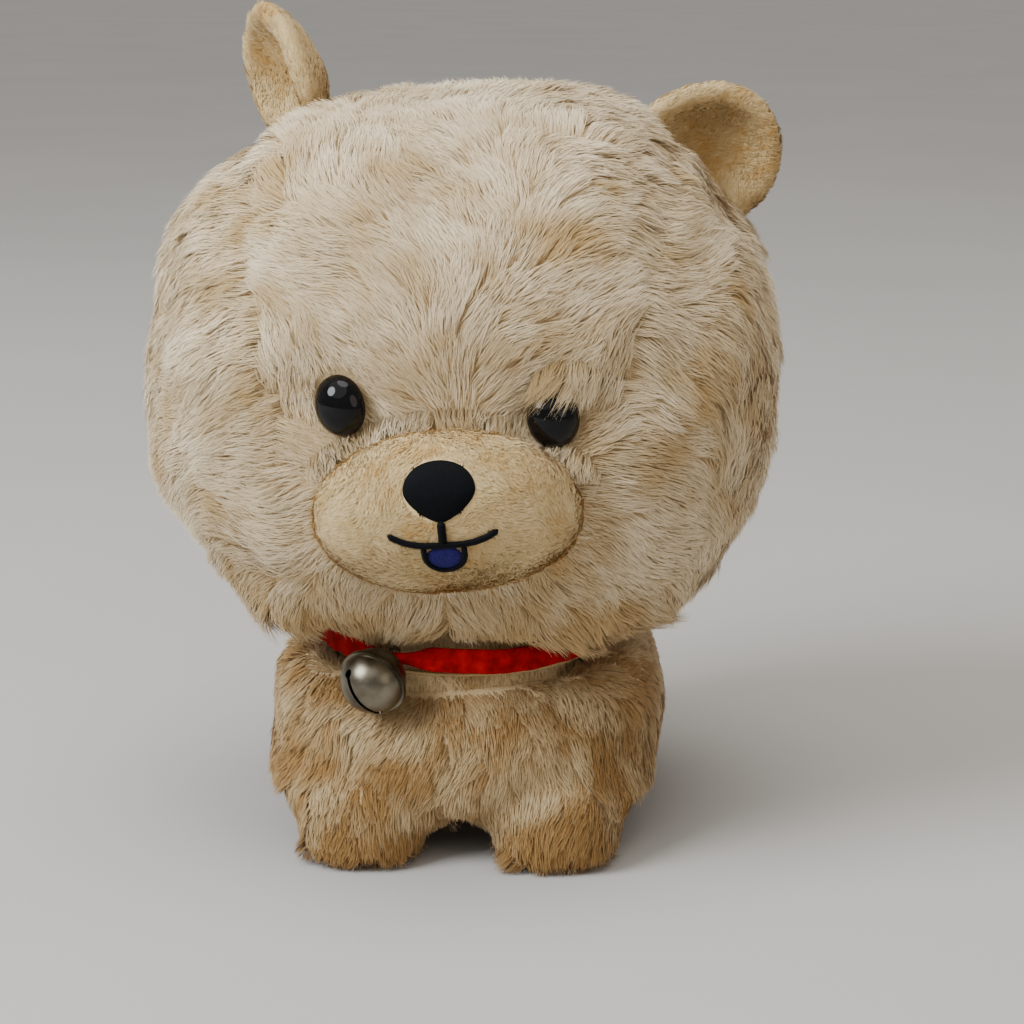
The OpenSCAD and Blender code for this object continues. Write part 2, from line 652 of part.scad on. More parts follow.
// The ear stands so far out of the head that no point of its cut edge dips into the pile.
function ear_foot(place, lift) =
    let (d = unit([cos(place[0]), ear_behind, sin(place[0])])) head_c + d * (head_outer(d) + lift);
function ear_turned(place, v) =
    let (tip = [v[0], v[1] * cos(place[3]) - v[2] * sin(place[3]), v[1] * sin(place[3]) + v[2] * cos(place[3])],
         spun = [tip[0] * cos(place[2]) - tip[1] * sin(place[2]),
                 tip[0] * sin(place[2]) + tip[1] * cos(place[2]), tip[2]],
         b = 90 - place[1])
    [spun[0] * cos(b) + spun[2] * sin(b), spun[1], spun[2] * cos(b) - spun[0] * sin(b)];
function ear_stands(place, lift) = min([for (share = [-1 : 0.2 : 1]) for (t = [0, ear_t])
    let (a = share * ear_open, r = ear_bowl - t,
         edge = ear_turned(place, [r * sin(a), ear_depth / 2 - ear_bowl + r * cos(a), 0]))
    block_level(ear_foot(place, lift) + edge - head_c, [head_s, head_d / 2, head_up], head_n)]) > 1.01;
function ear_lift(place, lift = 0.8) =
    lift > 12 || ear_stands(place, lift) ? lift : ear_lift(place, lift + 0.4);
function ear_base(place) = ear_foot(place, ear_lift(place));

module ear_layer_solid(r, t, h) {
    arc = [for (k = [0 : 12]) ear_open * k / 12];
    difference() {
        translate([0, ear_depth / 2, h - ear_r]) rotate([-90, 0, 0]) translate([0, 0, -ear_bowl])
        rotate_extrude() polygon(concat([for (a = arc) [r * sin(a), r * cos(a)]],
                                        [for (a = backwards(arc)) [(r - t) * sin(a), (r - t) * cos(a)]]));
        for (fold = [-1, 1]) rotate([fold * (ear_fold + 1), 0, 0])
            translate([-2 * ear_r, -2 * ear_r, -60]) cube([4 * ear_r, 4 * ear_r, 60]);
    }
}

// The ear on the dog's left stands at +X. hand is -1 for the other one, which mirrors it.
module on_ear(hand, place) {
    mirror([hand < 0 ? 1 : 0, 0, 0]) translate(ear_base(place)) rotate([0, 90 - place[1], 0])
        rotate([0, 0, place[2]]) rotate([place[3], 0, 0]) children();
}

module ear_back(hand, place) {
    color(short_gold) on_ear(hand, place) ear_layer_solid(ear_bowl, ear_layer, place[4]);
}

module ear_lining(hand, place) {
    color(short_gold) on_ear(hand, place) ear_layer_solid(ear_bowl - ear_layer - gap, ear_layer, place[4]);
}

// The ribbon and the bell.

throat_h = 3.6;       // the ribbon is gathered to this height where the bell's loop holds it
throat_side = 5;      // half width of the gathered part, as an angle
throat_run = 6;       // angle over which the ribbon widens again

function ribbon_h(turn) = let (off = min(abs(turn), 360 - abs(turn)))
    mix(throat_h, ribbon_w, min(1, max(0, (off - throat_side) / throat_run)));

module collar_ribbon() {
    turns = 72;
    ring = [for (i = [0 : turns - 1])
        let (t = 360 * i / turns, a = t - 90 - bell_side, h = ribbon_h(t > 180 ? t - 360 : t) / 2)
        for (q = [[-1, -1], [1, -1], [1, 1], [-1, 1]])
            let (r = ribbon_r + q[0] * ribbon_t / 2) [r * cos(a), neck_y + r * sin(a), ribbon_z + q[1] * h]];
    color(ribbon_red) polyhedron(ring, [for (i = [0 : turns - 1]) for (k = [0 : 3])
        let (e = 4 * ((i + 1) % turns), a = 4 * i + k, b = 4 * i + (k + 1) % 4, c = e + (k + 1) % 4, d = e + k)
        each [[a, b, c], [a, c, d]]]);
}

// Puts its children at the ribbon's place in the bell's loop, with +Z out along the bell.
module on_bell() {
    a = -90 - bell_side;
    translate([ribbon_r * cos(a), neck_y + ribbon_r * sin(a), ribbon_z])
    rotate([0, 0, a]) rotate([0, 90 + bell_slope, 0]) children();
}

slot_w = 1.2;
slot_turn = 30;
slot_end = 50;        // angle from the bell's front to the round ends of its slot
rim_t = 0.5;          // thickness of each half's rolled rim

module bell_front_shell() {
    color(bell_grey) on_bell() translate([0, 0, bell_reach]) rotate([0, 0, slot_turn]) difference() {
        union() {
            difference() {
                sphere(bell_r);
                translate([0, 0, gap / 2 - 1.5 * bell_r]) cube(3 * bell_r, center = true);
            }
            translate([0, 0, gap / 2]) cylinder(rim_t, r = bell_r + rim_out);
        }
        sphere(bell_r - bell_wall);
        translate([0, 0, bell_r]) cube([1.55 * bell_r, slot_w, bell_r * 1.3], center = true);
        for (side = [-1, 1]) rotate([0, side * slot_end, 0]) cylinder(2 * bell_r, r = 1.15 * slot_w);
    }
}

module bell_back_shell() {
    color(bell_grey) on_bell() translate([0, 0, bell_reach]) difference() {
        union() {
            difference() {
                sphere(bell_r);
                translate([0, 0, 1.5 * bell_r - gap / 2]) cube(3 * bell_r, center = true);
            }
            translate([0, 0, -gap / 2 - rim_t]) cylinder(rim_t, r = bell_r + rim_out);
        }
        sphere(bell_r - bell_wall);
    }
}

// The wire loop round the ribbon. Its foot stands on the bell's back.
module bell_loop() {
    color(bell_grey) on_bell() difference() {
        rotate([90, 0, 0]) rotate_extrude() translate([loop_r, 0]) circle(loop_wire, $fn = 24);
        translate([0, 0, bell_reach]) sphere(bell_r);
    }
}

// The loose ball lies on the bottom of the bell.
module clapper() {
    color("silver") translate([0, 0, -(bell_r - bell_wall - clapper_r - gap)])
    on_bell() translate([0, 0, bell_reach]) sphere(clapper_r);
}

// What is drawn.

body_side(1);  // body_side_left
body_side(-1);  // body_side_right
belly_gusset();
body_stuffing();
leg(1, -1);  // leg_front_left
leg(-1, -1);  // leg_front_right
leg(1, 1);  // leg_rear_left
leg(-1, 1);  // leg_rear_right
sole(1, -1);  // sole_front_left
sole(-1, -1);  // sole_front_right
sole(1, 1);  // sole_rear_left
sole(-1, 1);  // sole_rear_right
leg_stuffing(1, -1);  // leg_stuffing_front_left
leg_stuffing(-1, -1);  // leg_stuffing_front_right
leg_stuffing(1, 1);  // leg_stuffing_rear_left
leg_stuffing(-1, 1);  // leg_stuffing_rear_right
care_label();
tail_cover(1);  // tail_cover_left
tail_cover(-1);  // tail_cover_right
tail_stuffing();
neck_stuffing();
neck_stitches();
forehead_gusset();
head_back();
cheek(1);  // cheek_left
cheek(-1);  // cheek_right
head_stuffing();
muzzle_cover();
muzzle_stuffing();
nose_embroidery();
mouth_embroidery();
tongue_embroidery();
eye(1);  // eye_left
eye(-1);  // eye_right
eye_washer(1);  // eye_washer_left
eye_washer(-1);  // eye_washer_right
ear_lining(1, ear_place_left);  // ear_lining_left
ear_back(1, ear_place_left);  // ear_back_left
ear_lining(-1, ear_place_right);  // ear_lining_right
ear_back(-1, ear_place_right);  // ear_back_right
collar_ribbon();
bell_front_shell();
bell_back_shell();
bell_loop();
clapper();
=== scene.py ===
import json
import math
import bpy
import numpy as np
from mathutils import Euler, Matrix, Vector, kdtree
from mathutils.bvhtree import BVHTree


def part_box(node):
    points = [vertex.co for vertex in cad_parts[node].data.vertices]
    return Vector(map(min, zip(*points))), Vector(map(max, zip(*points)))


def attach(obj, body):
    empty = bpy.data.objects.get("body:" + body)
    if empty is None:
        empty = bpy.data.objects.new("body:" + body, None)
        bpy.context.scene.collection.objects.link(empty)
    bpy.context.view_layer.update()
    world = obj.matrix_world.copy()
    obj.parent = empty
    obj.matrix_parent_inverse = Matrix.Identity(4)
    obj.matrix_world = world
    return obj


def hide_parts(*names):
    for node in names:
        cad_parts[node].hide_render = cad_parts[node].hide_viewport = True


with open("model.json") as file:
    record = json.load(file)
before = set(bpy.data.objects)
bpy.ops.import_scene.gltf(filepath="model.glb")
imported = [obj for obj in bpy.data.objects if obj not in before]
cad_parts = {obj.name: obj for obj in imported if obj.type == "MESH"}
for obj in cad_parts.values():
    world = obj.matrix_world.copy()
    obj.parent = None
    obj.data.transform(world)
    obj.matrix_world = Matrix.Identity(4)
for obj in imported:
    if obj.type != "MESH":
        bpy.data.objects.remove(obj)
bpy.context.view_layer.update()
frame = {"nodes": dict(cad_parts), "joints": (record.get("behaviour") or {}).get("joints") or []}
nodes = frame["nodes"]
joints = {joint["name"]: joint for joint in frame["joints"]}
mm = 0.001


def boxOf(*names):
    lows, highs = zip(*(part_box(name) for name in names))
    return np.min(np.array(lows), axis=0), np.max(np.array(highs), axis=0)


def pivotOf(name):
    return np.array(joints[name]["pos_m"])


def unit(rows):
    return rows / np.maximum(np.linalg.norm(rows, axis=-1, keepdims=True), 1e-12)


def ease(values, low, high):
    share = np.clip((values - low) / (high - low), 0, 1)
    return share * share * (3 - 2 * share)


# a smooth random field between about -1 and 1, with features of the given size in metres
def softNoise(points, size, seed, waves=12):
    rng = np.random.default_rng(seed)
    push = unit(rng.normal(size=(waves, 3))) * (2 * math.pi / size) * rng.uniform(0.5, 1.2, (waves, 1))
    phase = rng.uniform(0, 2 * math.pi, waves)
    return np.sin(points @ push.T + phase).sum(axis=1) / math.sqrt(waves)


def pointsOf(obj):
    flat = np.empty(len(obj.data.vertices) * 3)
    obj.data.vertices.foreach_get("co", flat)
    return flat.reshape(-1, 3)


def normalsOf(obj):
    flat = np.empty(len(obj.data.vertices) * 3)
    obj.data.vertices.foreach_get("normal", flat)
    return flat.reshape(-1, 3)


def setPoints(obj, points):
    obj.data.vertices.foreach_set("co", np.asarray(points, dtype=float).ravel())
    obj.data.update()


def deselect():
    bpy.ops.object.select_all(action="DESELECT")


def makeActive(obj):
    deselect()
    obj.select_set(True)
    bpy.context.view_layer.objects.active = obj
    return obj


def named(name):
    obj = bpy.context.object
    obj.name = obj.data.name = name
    return obj


def applyAll(obj):
    makeActive(obj)
    for modifier in list(obj.modifiers):
        bpy.ops.object.modifier_apply(modifier=modifier.name)
    return obj


def subdivided(obj, levels=1):
    step = obj.modifiers.new("smooth", "SUBSURF")
    step.levels = step.render_levels = levels
    return applyAll(obj)


def thickened(obj, thickness, offset=-1):
    step = obj.modifiers.new("thickness", "SOLIDIFY")
    step.thickness, step.offset = thickness, offset
    return applyAll(obj)


def smoothShaded(obj):
    obj.data.shade_smooth()
    return obj


def outwards(obj):
    makeActive(obj)
    bpy.ops.object.mode_set(mode="EDIT")
    bpy.ops.mesh.select_all(action="SELECT")
    bpy.ops.mesh.remove_doubles(threshold=1e-6)
    bpy.ops.mesh.normals_make_consistent(inside=False)
    bpy.ops.object.mode_set(mode="OBJECT")
    return obj


# a ball of even triangles, and the directions along which the caller moves its points out to a shape
def ball(name, subdivisions):
    deselect()
    bpy.ops.mesh.primitive_ico_sphere_add(subdivisions=subdivisions, radius=1)
    obj = named(name)
    return obj, unit(pointsOf(obj))


def joined(parts):
    makeActive(parts[0])
    for part in parts:
        part.select_set(True)
    bpy.ops.object.join()
    return parts[0]


def remeshed(obj, voxel):
    step = obj.modifiers.new("remesh", "REMESH")
    step.mode, step.voxel_size = "VOXEL", voxel
    return applyAll(obj)


# how far a rounded block of half sizes reaches along unit directions
def blockReach(directions, halves, power):
    return (np.abs(directions / halves) ** power).sum(axis=1) ** (-1 / np.ravel(power))


view = {
    "turn": 4.0, "aside": 1.15, "down": 13.62,      # degrees round the toy, off its middle and downwards
    "away": 0.740, "height": 0.281,                 # metres from the head's middle and above the floor
    "lens": 83.8,
}
headUp = 92 * mm        # from the head's widest level to its crown
headLow, headHigh = boxOf("forehead_gusset", "head_back", "cheek_left", "cheek_right")
headMid = np.array([0, (headLow[1] + headHigh[1]) / 2, headHigh[2] - headUp])

cameraData = bpy.data.cameras.new("camera")
cameraData.lens = view["lens"]
camera = bpy.data.objects.new("camera", cameraData)
bpy.context.scene.collection.objects.link(camera)
turn = math.radians(view["turn"])
camera.location = (view["away"] * math.sin(turn), headMid[1] - view["away"] * math.cos(turn), view["height"])
camera.rotation_euler = (math.radians(90 - view["down"]), 0, math.radians(view["turn"] - view["aside"]))
cameraData.clip_start, cameraData.clip_end = 0.05, 100
bpy.context.scene.camera = camera


def areaLight(name, place, size, power, colour):
    data = bpy.data.lights.new(name, "AREA")
    data.shape, data.size, data.energy, data.color = "DISK", size, power, colour
    lamp = bpy.data.objects.new(name, data)
    bpy.context.scene.collection.objects.link(lamp)
    lamp.location = place
    lamp.rotation_euler = (Vector(toyMid) - Vector(place)).to_track_quat("-Z", "Y").to_euler()


toyMid = (0, 0, 0.13)
lights = {
    "windowLight": {"place": (-1.15, -0.85, 1.2), "size": 0.9, "power": 43, "colour": (0.88, 0.94, 1.0)},
    "ceilingLight": {"place": (0.1, -0.2, 1.9), "size": 1.2, "power": 16, "colour": (1.0, 0.98, 0.94)},
    "roomLight": {"place": (1.3, -1.1, 0.7), "size": 1.1, "power": 5, "colour": (1.0, 0.88, 0.74)},
}
for name, light in lights.items():
    areaLight(name, **light)

soft = {"power": 1.0, "spread": 70, "lean": (28, -18), "colour": (1.0, 0.99, 0.97)}
sunData = bpy.data.lights.new("softLight", "SUN")
sunData.energy, sunData.angle, sunData.color = soft["power"], math.radians(soft["spread"]), soft["colour"]
softLight = bpy.data.objects.new("softLight", sunData)
softLight.rotation_euler = (math.radians(soft["lean"][0]), math.radians(soft["lean"][1]), 0)
bpy.context.scene.collection.objects.link(softLight)

room = {"colour": (0.86, 0.85, 0.83, 1), "strength": 0.46}
world = bpy.data.worlds.new("room")
world.use_nodes = True
world.node_tree.nodes["Background"].inputs["Color"].default_value = room["colour"]
world.node_tree.nodes["Background"].inputs["Strength"].default_value = room["strength"]
bpy.context.scene.world = world
print("camera and light ready")


# a colour as a screen shows it, made ready for a shader
def linear(colour):
    return tuple(c / 12.92 if c <= 0.04045 else ((c + 0.055) / 1.055) ** 2.4 for c in colour) + (1.0,)


# an empty surface whose plain numbers are set on the shader's own sockets
def surface(name, **numbers):
    material = bpy.data.materials.new(name)
    material.use_nodes = True
    tree = material.node_tree
    shader = tree.nodes["Principled BSDF"]
    for socket, value in numbers.items():
        shader.inputs[socket.replace("_", " ")].default_value = value
    return material, tree, shader


def addNode(tree, kind, inputs=None, **settings):
    node = tree.nodes.new(kind)
    for key, value in settings.items():
        setattr(node, key, value)
    for key, value in (inputs or {}).items():
        if hasattr(value, "is_output"):
            tree.links.new(value, node.inputs[key])
        else:
            node.inputs[key].default_value = value
    return node


def ramp(tree, value, stops):
    node = addNode(tree, "ShaderNodeValToRGB", {"Fac": value})
    while len(node.color_ramp.elements) < len(stops):
        node.color_ramp.elements.new(0.5)
    for element, (place, colour) in zip(node.color_ramp.elements, stops):
        element.position, element.color = place, linear(colour)
    return node.outputs["Color"]


def bump(tree, shader, height, strength, distance):
    node = addNode(tree, "ShaderNodeBump", {"Height": height, "Strength": strength, "Distance": distance})
    tree.links.new(node.outputs["Normal"], shader.inputs["Normal"])


# a noise pattern on the piece's own coordinates, or on the given ones
def noise(tree, scale, detail, place=None, distortion=0.0):
    if place is None:
        place = addNode(tree, "ShaderNodeTexCoord").outputs["Object"]
    inputs = {"Vector": place, "Scale": scale, "Detail": detail, "Distortion": distortion}
    return addNode(tree, "ShaderNodeTexNoise", inputs).outputs["Fac"]


# the colour drifts between two shades where the pattern does
def mottled(tree, shader, pattern, dark, light):
    tree.links.new(ramp(tree, pattern, [(0.3, dark), (0.7, light)]), shader.inputs["Base Color"])


# pile whose colour runs from root to tip along v, and from dark to light strands along u
def pileMaterial(name, root, middle, tip, brown):
    material, tree, shader = surface(name, Roughness=0.82, Specular_IOR_Level=0.18,
                                     Sheen_Weight=0.28, Sheen_Roughness=0.45)
    shader.inputs["Sheen Tint"].default_value = linear((0.98, 0.93, 0.85))
    uv = addNode(tree, "ShaderNodeUVMap", uv_map="OFBake")
    parts = addNode(tree, "ShaderNodeSeparateXYZ", {"Vector": uv.outputs["UV"]})
    # darker towards the root: painted shade deep in the pile
    along = ramp(tree, parts.outputs["Y"], [(0.0, root), (0.45, middle), (1.0, tip)])
    shade = ramp(tree, parts.outputs["X"], [(0.0, brown), (0.45, (0.90, 0.87, 0.82)), (1.0, (1.0, 1.0, 1.0))])
    mixed = addNode(tree, "ShaderNodeMix", {"Factor": 1.0}, data_type="RGBA", blend_type="MULTIPLY")
    tree.links.new(along, mixed.inputs[6])
    tree.links.new(shade, mixed.inputs[7])
    tree.links.new(mixed.outputs[2], shader.inputs["Base Color"])
    return material


# the knitted backing that the pile stands on
def backingMaterial(name, dark, light):
    material, tree, shader = surface(name, Roughness=0.95, Specular_IOR_Level=0.1)
    mottled(tree, shader, noise(tree, 160, 3), dark, light)
    bump(tree, shader, noise(tree, 1400, 2), 0.5, 0.0006)
    return material


headPile = pileMaterial("head pile", root=(0.75, 0.65, 0.49), middle=(0.87, 0.79, 0.65),
                        tip=(0.95, 0.90, 0.79), brown=(0.82, 0.74, 0.60))
# darker than the head pile: partly the body's own browner pile, partly painted shade from the head above it
bodyPile = pileMaterial("body pile", root=(0.63, 0.52, 0.36), middle=(0.75, 0.65, 0.49),
                        tip=(0.87, 0.79, 0.64), brown=(0.76, 0.65, 0.49))
shortPile = pileMaterial("short pile", root=(0.80, 0.69, 0.49), middle=(0.87, 0.77, 0.57),
                         tip=(0.93, 0.85, 0.68), brown=(0.84, 0.73, 0.54))
# a darker tan under the pile: painted shade at the roots of the pile
backing = backingMaterial("backing", (0.72, 0.62, 0.46), (0.80, 0.70, 0.54))
shortBacking = backingMaterial("short backing", (0.82, 0.71, 0.51), (0.88, 0.78, 0.58))


def fibreMaterial():
    material, tree, shader = surface("fibre filling", Roughness=0.9, Specular_IOR_Level=0.2, Sheen_Weight=0.3)
    strands = noise(tree, 420, 6, distortion=2.5)
    mottled(tree, shader, strands, (0.80, 0.79, 0.76), (0.97, 0.97, 0.95))
    bump(tree, shader, strands, 0.6, 0.001)
    return material


def threadMaterial(name, dark, light):
    material, tree, shader = surface(name, Roughness=0.7, Specular_IOR_Level=0.08, Sheen_Weight=0.02)
    twist = noise(tree, 2600, 2)
    mottled(tree, shader, twist, dark, light)
    bump(tree, shader, twist, 0.35, 0.0002)
    return material


def velvetMaterial():
    material, tree, shader = surface("red velvet", Roughness=0.85, Specular_IOR_Level=0.1, Sheen_Weight=0.35,
                                     Sheen_Roughness=0.35)
    shader.inputs["Sheen Tint"].default_value = linear((1.0, 0.28, 0.26))
    mottled(tree, shader, noise(tree, 260, 3), (0.42, 0.012, 0.024), (0.66, 0.03, 0.045))
    bump(tree, shader, noise(tree, 3200, 1), 0.5, 0.0002)
    return material


# plated brass, mottled at random between brighter rubbed patches and darker antiqued ones
def bellMaterial():
    material, tree, shader = surface("antique nickel", Metallic=1.0, Specular_IOR_Level=0.5)
    cloud = noise(tree, 130, 5)
    mottled(tree, shader, cloud, (0.27, 0.25, 0.20), (0.52, 0.49, 0.43))
    rough = addNode(tree, "ShaderNodeMapRange", {"Value": cloud, "To Min": 0.22, "To Max": 0.42})
    tree.links.new(rough.outputs["Result"], shader.inputs["Roughness"])
    place = addNode(tree, "ShaderNodeTexCoord").outputs["Object"]
    brushed = addNode(tree, "ShaderNodeMapping", {"Vector": place, "Scale": (300, 300, 6000)})
    bump(tree, shader, noise(tree, 1, 3, place=brushed.outputs["Vector"]), 0.08, 0.0001)
    return material


def eyeMaterial():
    material, tree, shader = surface("black eye", Roughness=0.06, Specular_IOR_Level=0.22)
    mottled(tree, shader, noise(tree, 900, 2), (0.015, 0.015, 0.02), (0.035, 0.035, 0.045))
    return material


def plainMaterial(name, dark, light, roughness, scale, metallic=0.0):
    material, tree, shader = surface(name, Roughness=roughness, Metallic=metallic)
    grain = noise(tree, scale, 4)
    mottled(tree, shader, grain, dark, light)
    bump(tree, shader, grain, 0.1, 0.0002)
    return material


fibre = fibreMaterial()
blackThread = threadMaterial("black thread", (0.006, 0.010, 0.018), (0.03, 0.038, 0.055))
blueThread = threadMaterial("blue thread", (0.07, 0.06, 0.24), (0.17, 0.15, 0.42))
velvet = velvetMaterial()
antiqueNickel = bellMaterial()
blackEye = eyeMaterial()
washerPlastic = plainMaterial("washer plastic", (0.82, 0.82, 0.80), (0.92, 0.92, 0.90), 0.45, 700)
ballSteel = plainMaterial("ball steel", (0.45, 0.45, 0.45), (0.66, 0.66, 0.66), 0.3, 900, metallic=1.0)
labelSatin = plainMaterial("label satin", (0.86, 0.86, 0.85), (0.96, 0.96, 0.95), 0.5, 2600)
sewingThread = threadMaterial("sewing thread", (0.62, 0.50, 0.34), (0.78, 0.66, 0.48))
floorPaint = plainMaterial("floor", (0.70, 0.685, 0.665), (0.72, 0.705, 0.685), 0.8, 3)


def dress(obj, material):
    obj.data.materials.clear()
    obj.data.materials.append(material)
    return obj


deselect()
bpy.ops.mesh.primitive_plane_add(size=60)
floor = dress(named("floor"), floorPaint)


def finishPiece(obj, body, material, replaced=()):
    dress(obj, material)
    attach(obj, body)
    if replaced:
        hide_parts(*replaced)


sewing = {
    "reach": 5 * mm,            # how far out of a face its CAD panel is looked for
    "dent": 1.2 * mm,           # depth of a seam
    "pressure": 4, "quality": 5, "frames": 20,      # of the cloth that puffs up
}


# every face of the piece gets the number of the CAD panel that lies nearest to it
def markPanels(obj, panelNames):
    trees = []
    for name in panelNames:
        mesh = nodes[name].data
        trees.append(BVHTree.FromPolygons([v.co for v in mesh.vertices], [p.vertices for p in mesh.polygons]))
    normals = normalsOf(obj)
    marks = []
    for face in obj.data.polygons:
        out = Vector(normals[list(face.vertices)].mean(axis=0)).normalized()
        spot = face.center + out * sewing["reach"]
        marks.append(int(np.argmin([tree.find_nearest(spot)[3] for tree in trees])))
    obj.data.materials.clear()
    for name in panelNames:
        obj.data.materials.append(None)
    obj.data.polygons.foreach_set("material_index", marks)
    return np.array(marks)


# points where two panels meet are held, and the rest of the skin swells between them
def seamPoints(obj, marks):
    first = np.full(len(obj.data.vertices), -1)
    seam = np.zeros(len(obj.data.vertices), bool)
    for face, mark in zip(obj.data.polygons, marks):
        for v in face.vertices:
            if first[v] < 0:
                first[v] = mark
            elif first[v] != mark:
                seam[v] = True
    return seam


# the stuffed fabric: cloth with air pressure, held at its seams, moved no further than the cap
def puffed(obj, voxel, cap, panelNames=(), dent=sewing["dent"]):
    remeshed(obj, voxel)
    start = pointsOf(obj)
    normals = normalsOf(obj)
    seam = np.zeros(len(start), bool)
    if panelNames:
        seam = seamPoints(obj, markPanels(obj, panelNames))
        start[seam] -= normals[seam] * dent
        setPoints(obj, start)
    group = obj.vertex_groups.new(name="seam")
    group.add([int(i) for i in np.nonzero(seam)[0]], 1.0, "REPLACE")
    cloth = obj.modifiers.new("cloth", "CLOTH")
    cloth.settings.vertex_group_mass = "seam"
    cloth.settings.use_pressure = True
    cloth.settings.uniform_pressure_force = sewing["pressure"]
    cloth.settings.effector_weights.gravity = 0
    cloth.settings.quality = sewing["quality"]
    scene = bpy.context.scene
    for number in range(1, sewing["frames"] + 1):
        scene.frame_set(number)
    moved = obj.evaluated_get(bpy.context.evaluated_depsgraph_get()).data
    flat = np.empty(len(moved.vertices) * 3)
    moved.vertices.foreach_get("co", flat)
    shift = flat.reshape(-1, 3) - start
    far = np.linalg.norm(shift, axis=1, keepdims=True)
    shift *= np.minimum(1, cap / np.maximum(far, 1e-9))
    obj.modifiers.clear()
    obj.vertex_groups.clear()
    setPoints(obj, start + shift)
    scene.frame_set(1)
    return subdivided(obj)


# one object for each panel, cut apart where the panels meet
def cutApart(obj, panelNames, newNames):
    makeActive(obj)
    marks = np.empty(len(obj.data.polygons), int)
    obj.data.polygons.foreach_get("material_index", marks)
    pieces = {}
    for index, (panel, newName) in enumerate(zip(panelNames, newNames)):
        piece = obj.copy()
        piece.data = obj.data.copy()
        piece.name = piece.data.name = newName
        bpy.context.scene.collection.objects.link(piece)
        makeActive(piece)
        piece.data.polygons.foreach_set("select", marks != index)
        piece.data.update()
        bpy.ops.object.mode_set(mode="EDIT")
        bpy.ops.mesh.select_mode(type="FACE")
        bpy.ops.object.mode_set(mode="OBJECT")
        piece.data.polygons.foreach_set("select", marks != index)
        bpy.ops.object.mode_set(mode="EDIT")
        bpy.ops.mesh.delete(type="FACE")
        bpy.ops.object.mode_set(mode="OBJECT")
        piece.data.polygons.foreach_set("material_index", np.zeros(len(piece.data.polygons), int))
        pieces[panel] = piece
    bpy.data.objects.remove(obj)
    return pieces


segments = np.array([0.0, 0.5, 1.0])        # places along a strand
taper = np.array([1.0, 0.8])                # its width at the first two; at the last it is a point
squareMm = 1e6                              # square millimetres in a square metre

# what all pile shares; the rest stands beside each piece
strandWays = {
    "turn": 0.10, "lift": 0.10, "roll": 0.45,       # how unevenly the strands stand, in radians
    "long": (0.82, 1.08), "wide": (0.75, 1.25),
    "lockLong": (0.78, 1.12), "lockWave": 0.12, "lockWaveSize": 20 * mm, "lockLift": 0.12,
    "ownLay": 0.55, "lockLay": 0.45,                # a strand lies partly its own way, partly its lock's
    "apart": 0.3,                                   # how much of its distance from the lock's middle stays
    "tone": 0.52, "cloud": 0.20, "cloudSize": 26 * mm, "spot": 0.15, "spotSize": 10 * mm,
    "lockTone": 0.09, "strandTone": 0.05,
    "faceOut": 0.85, "faceUp": 0.15,                # which way the light finds it facing
}


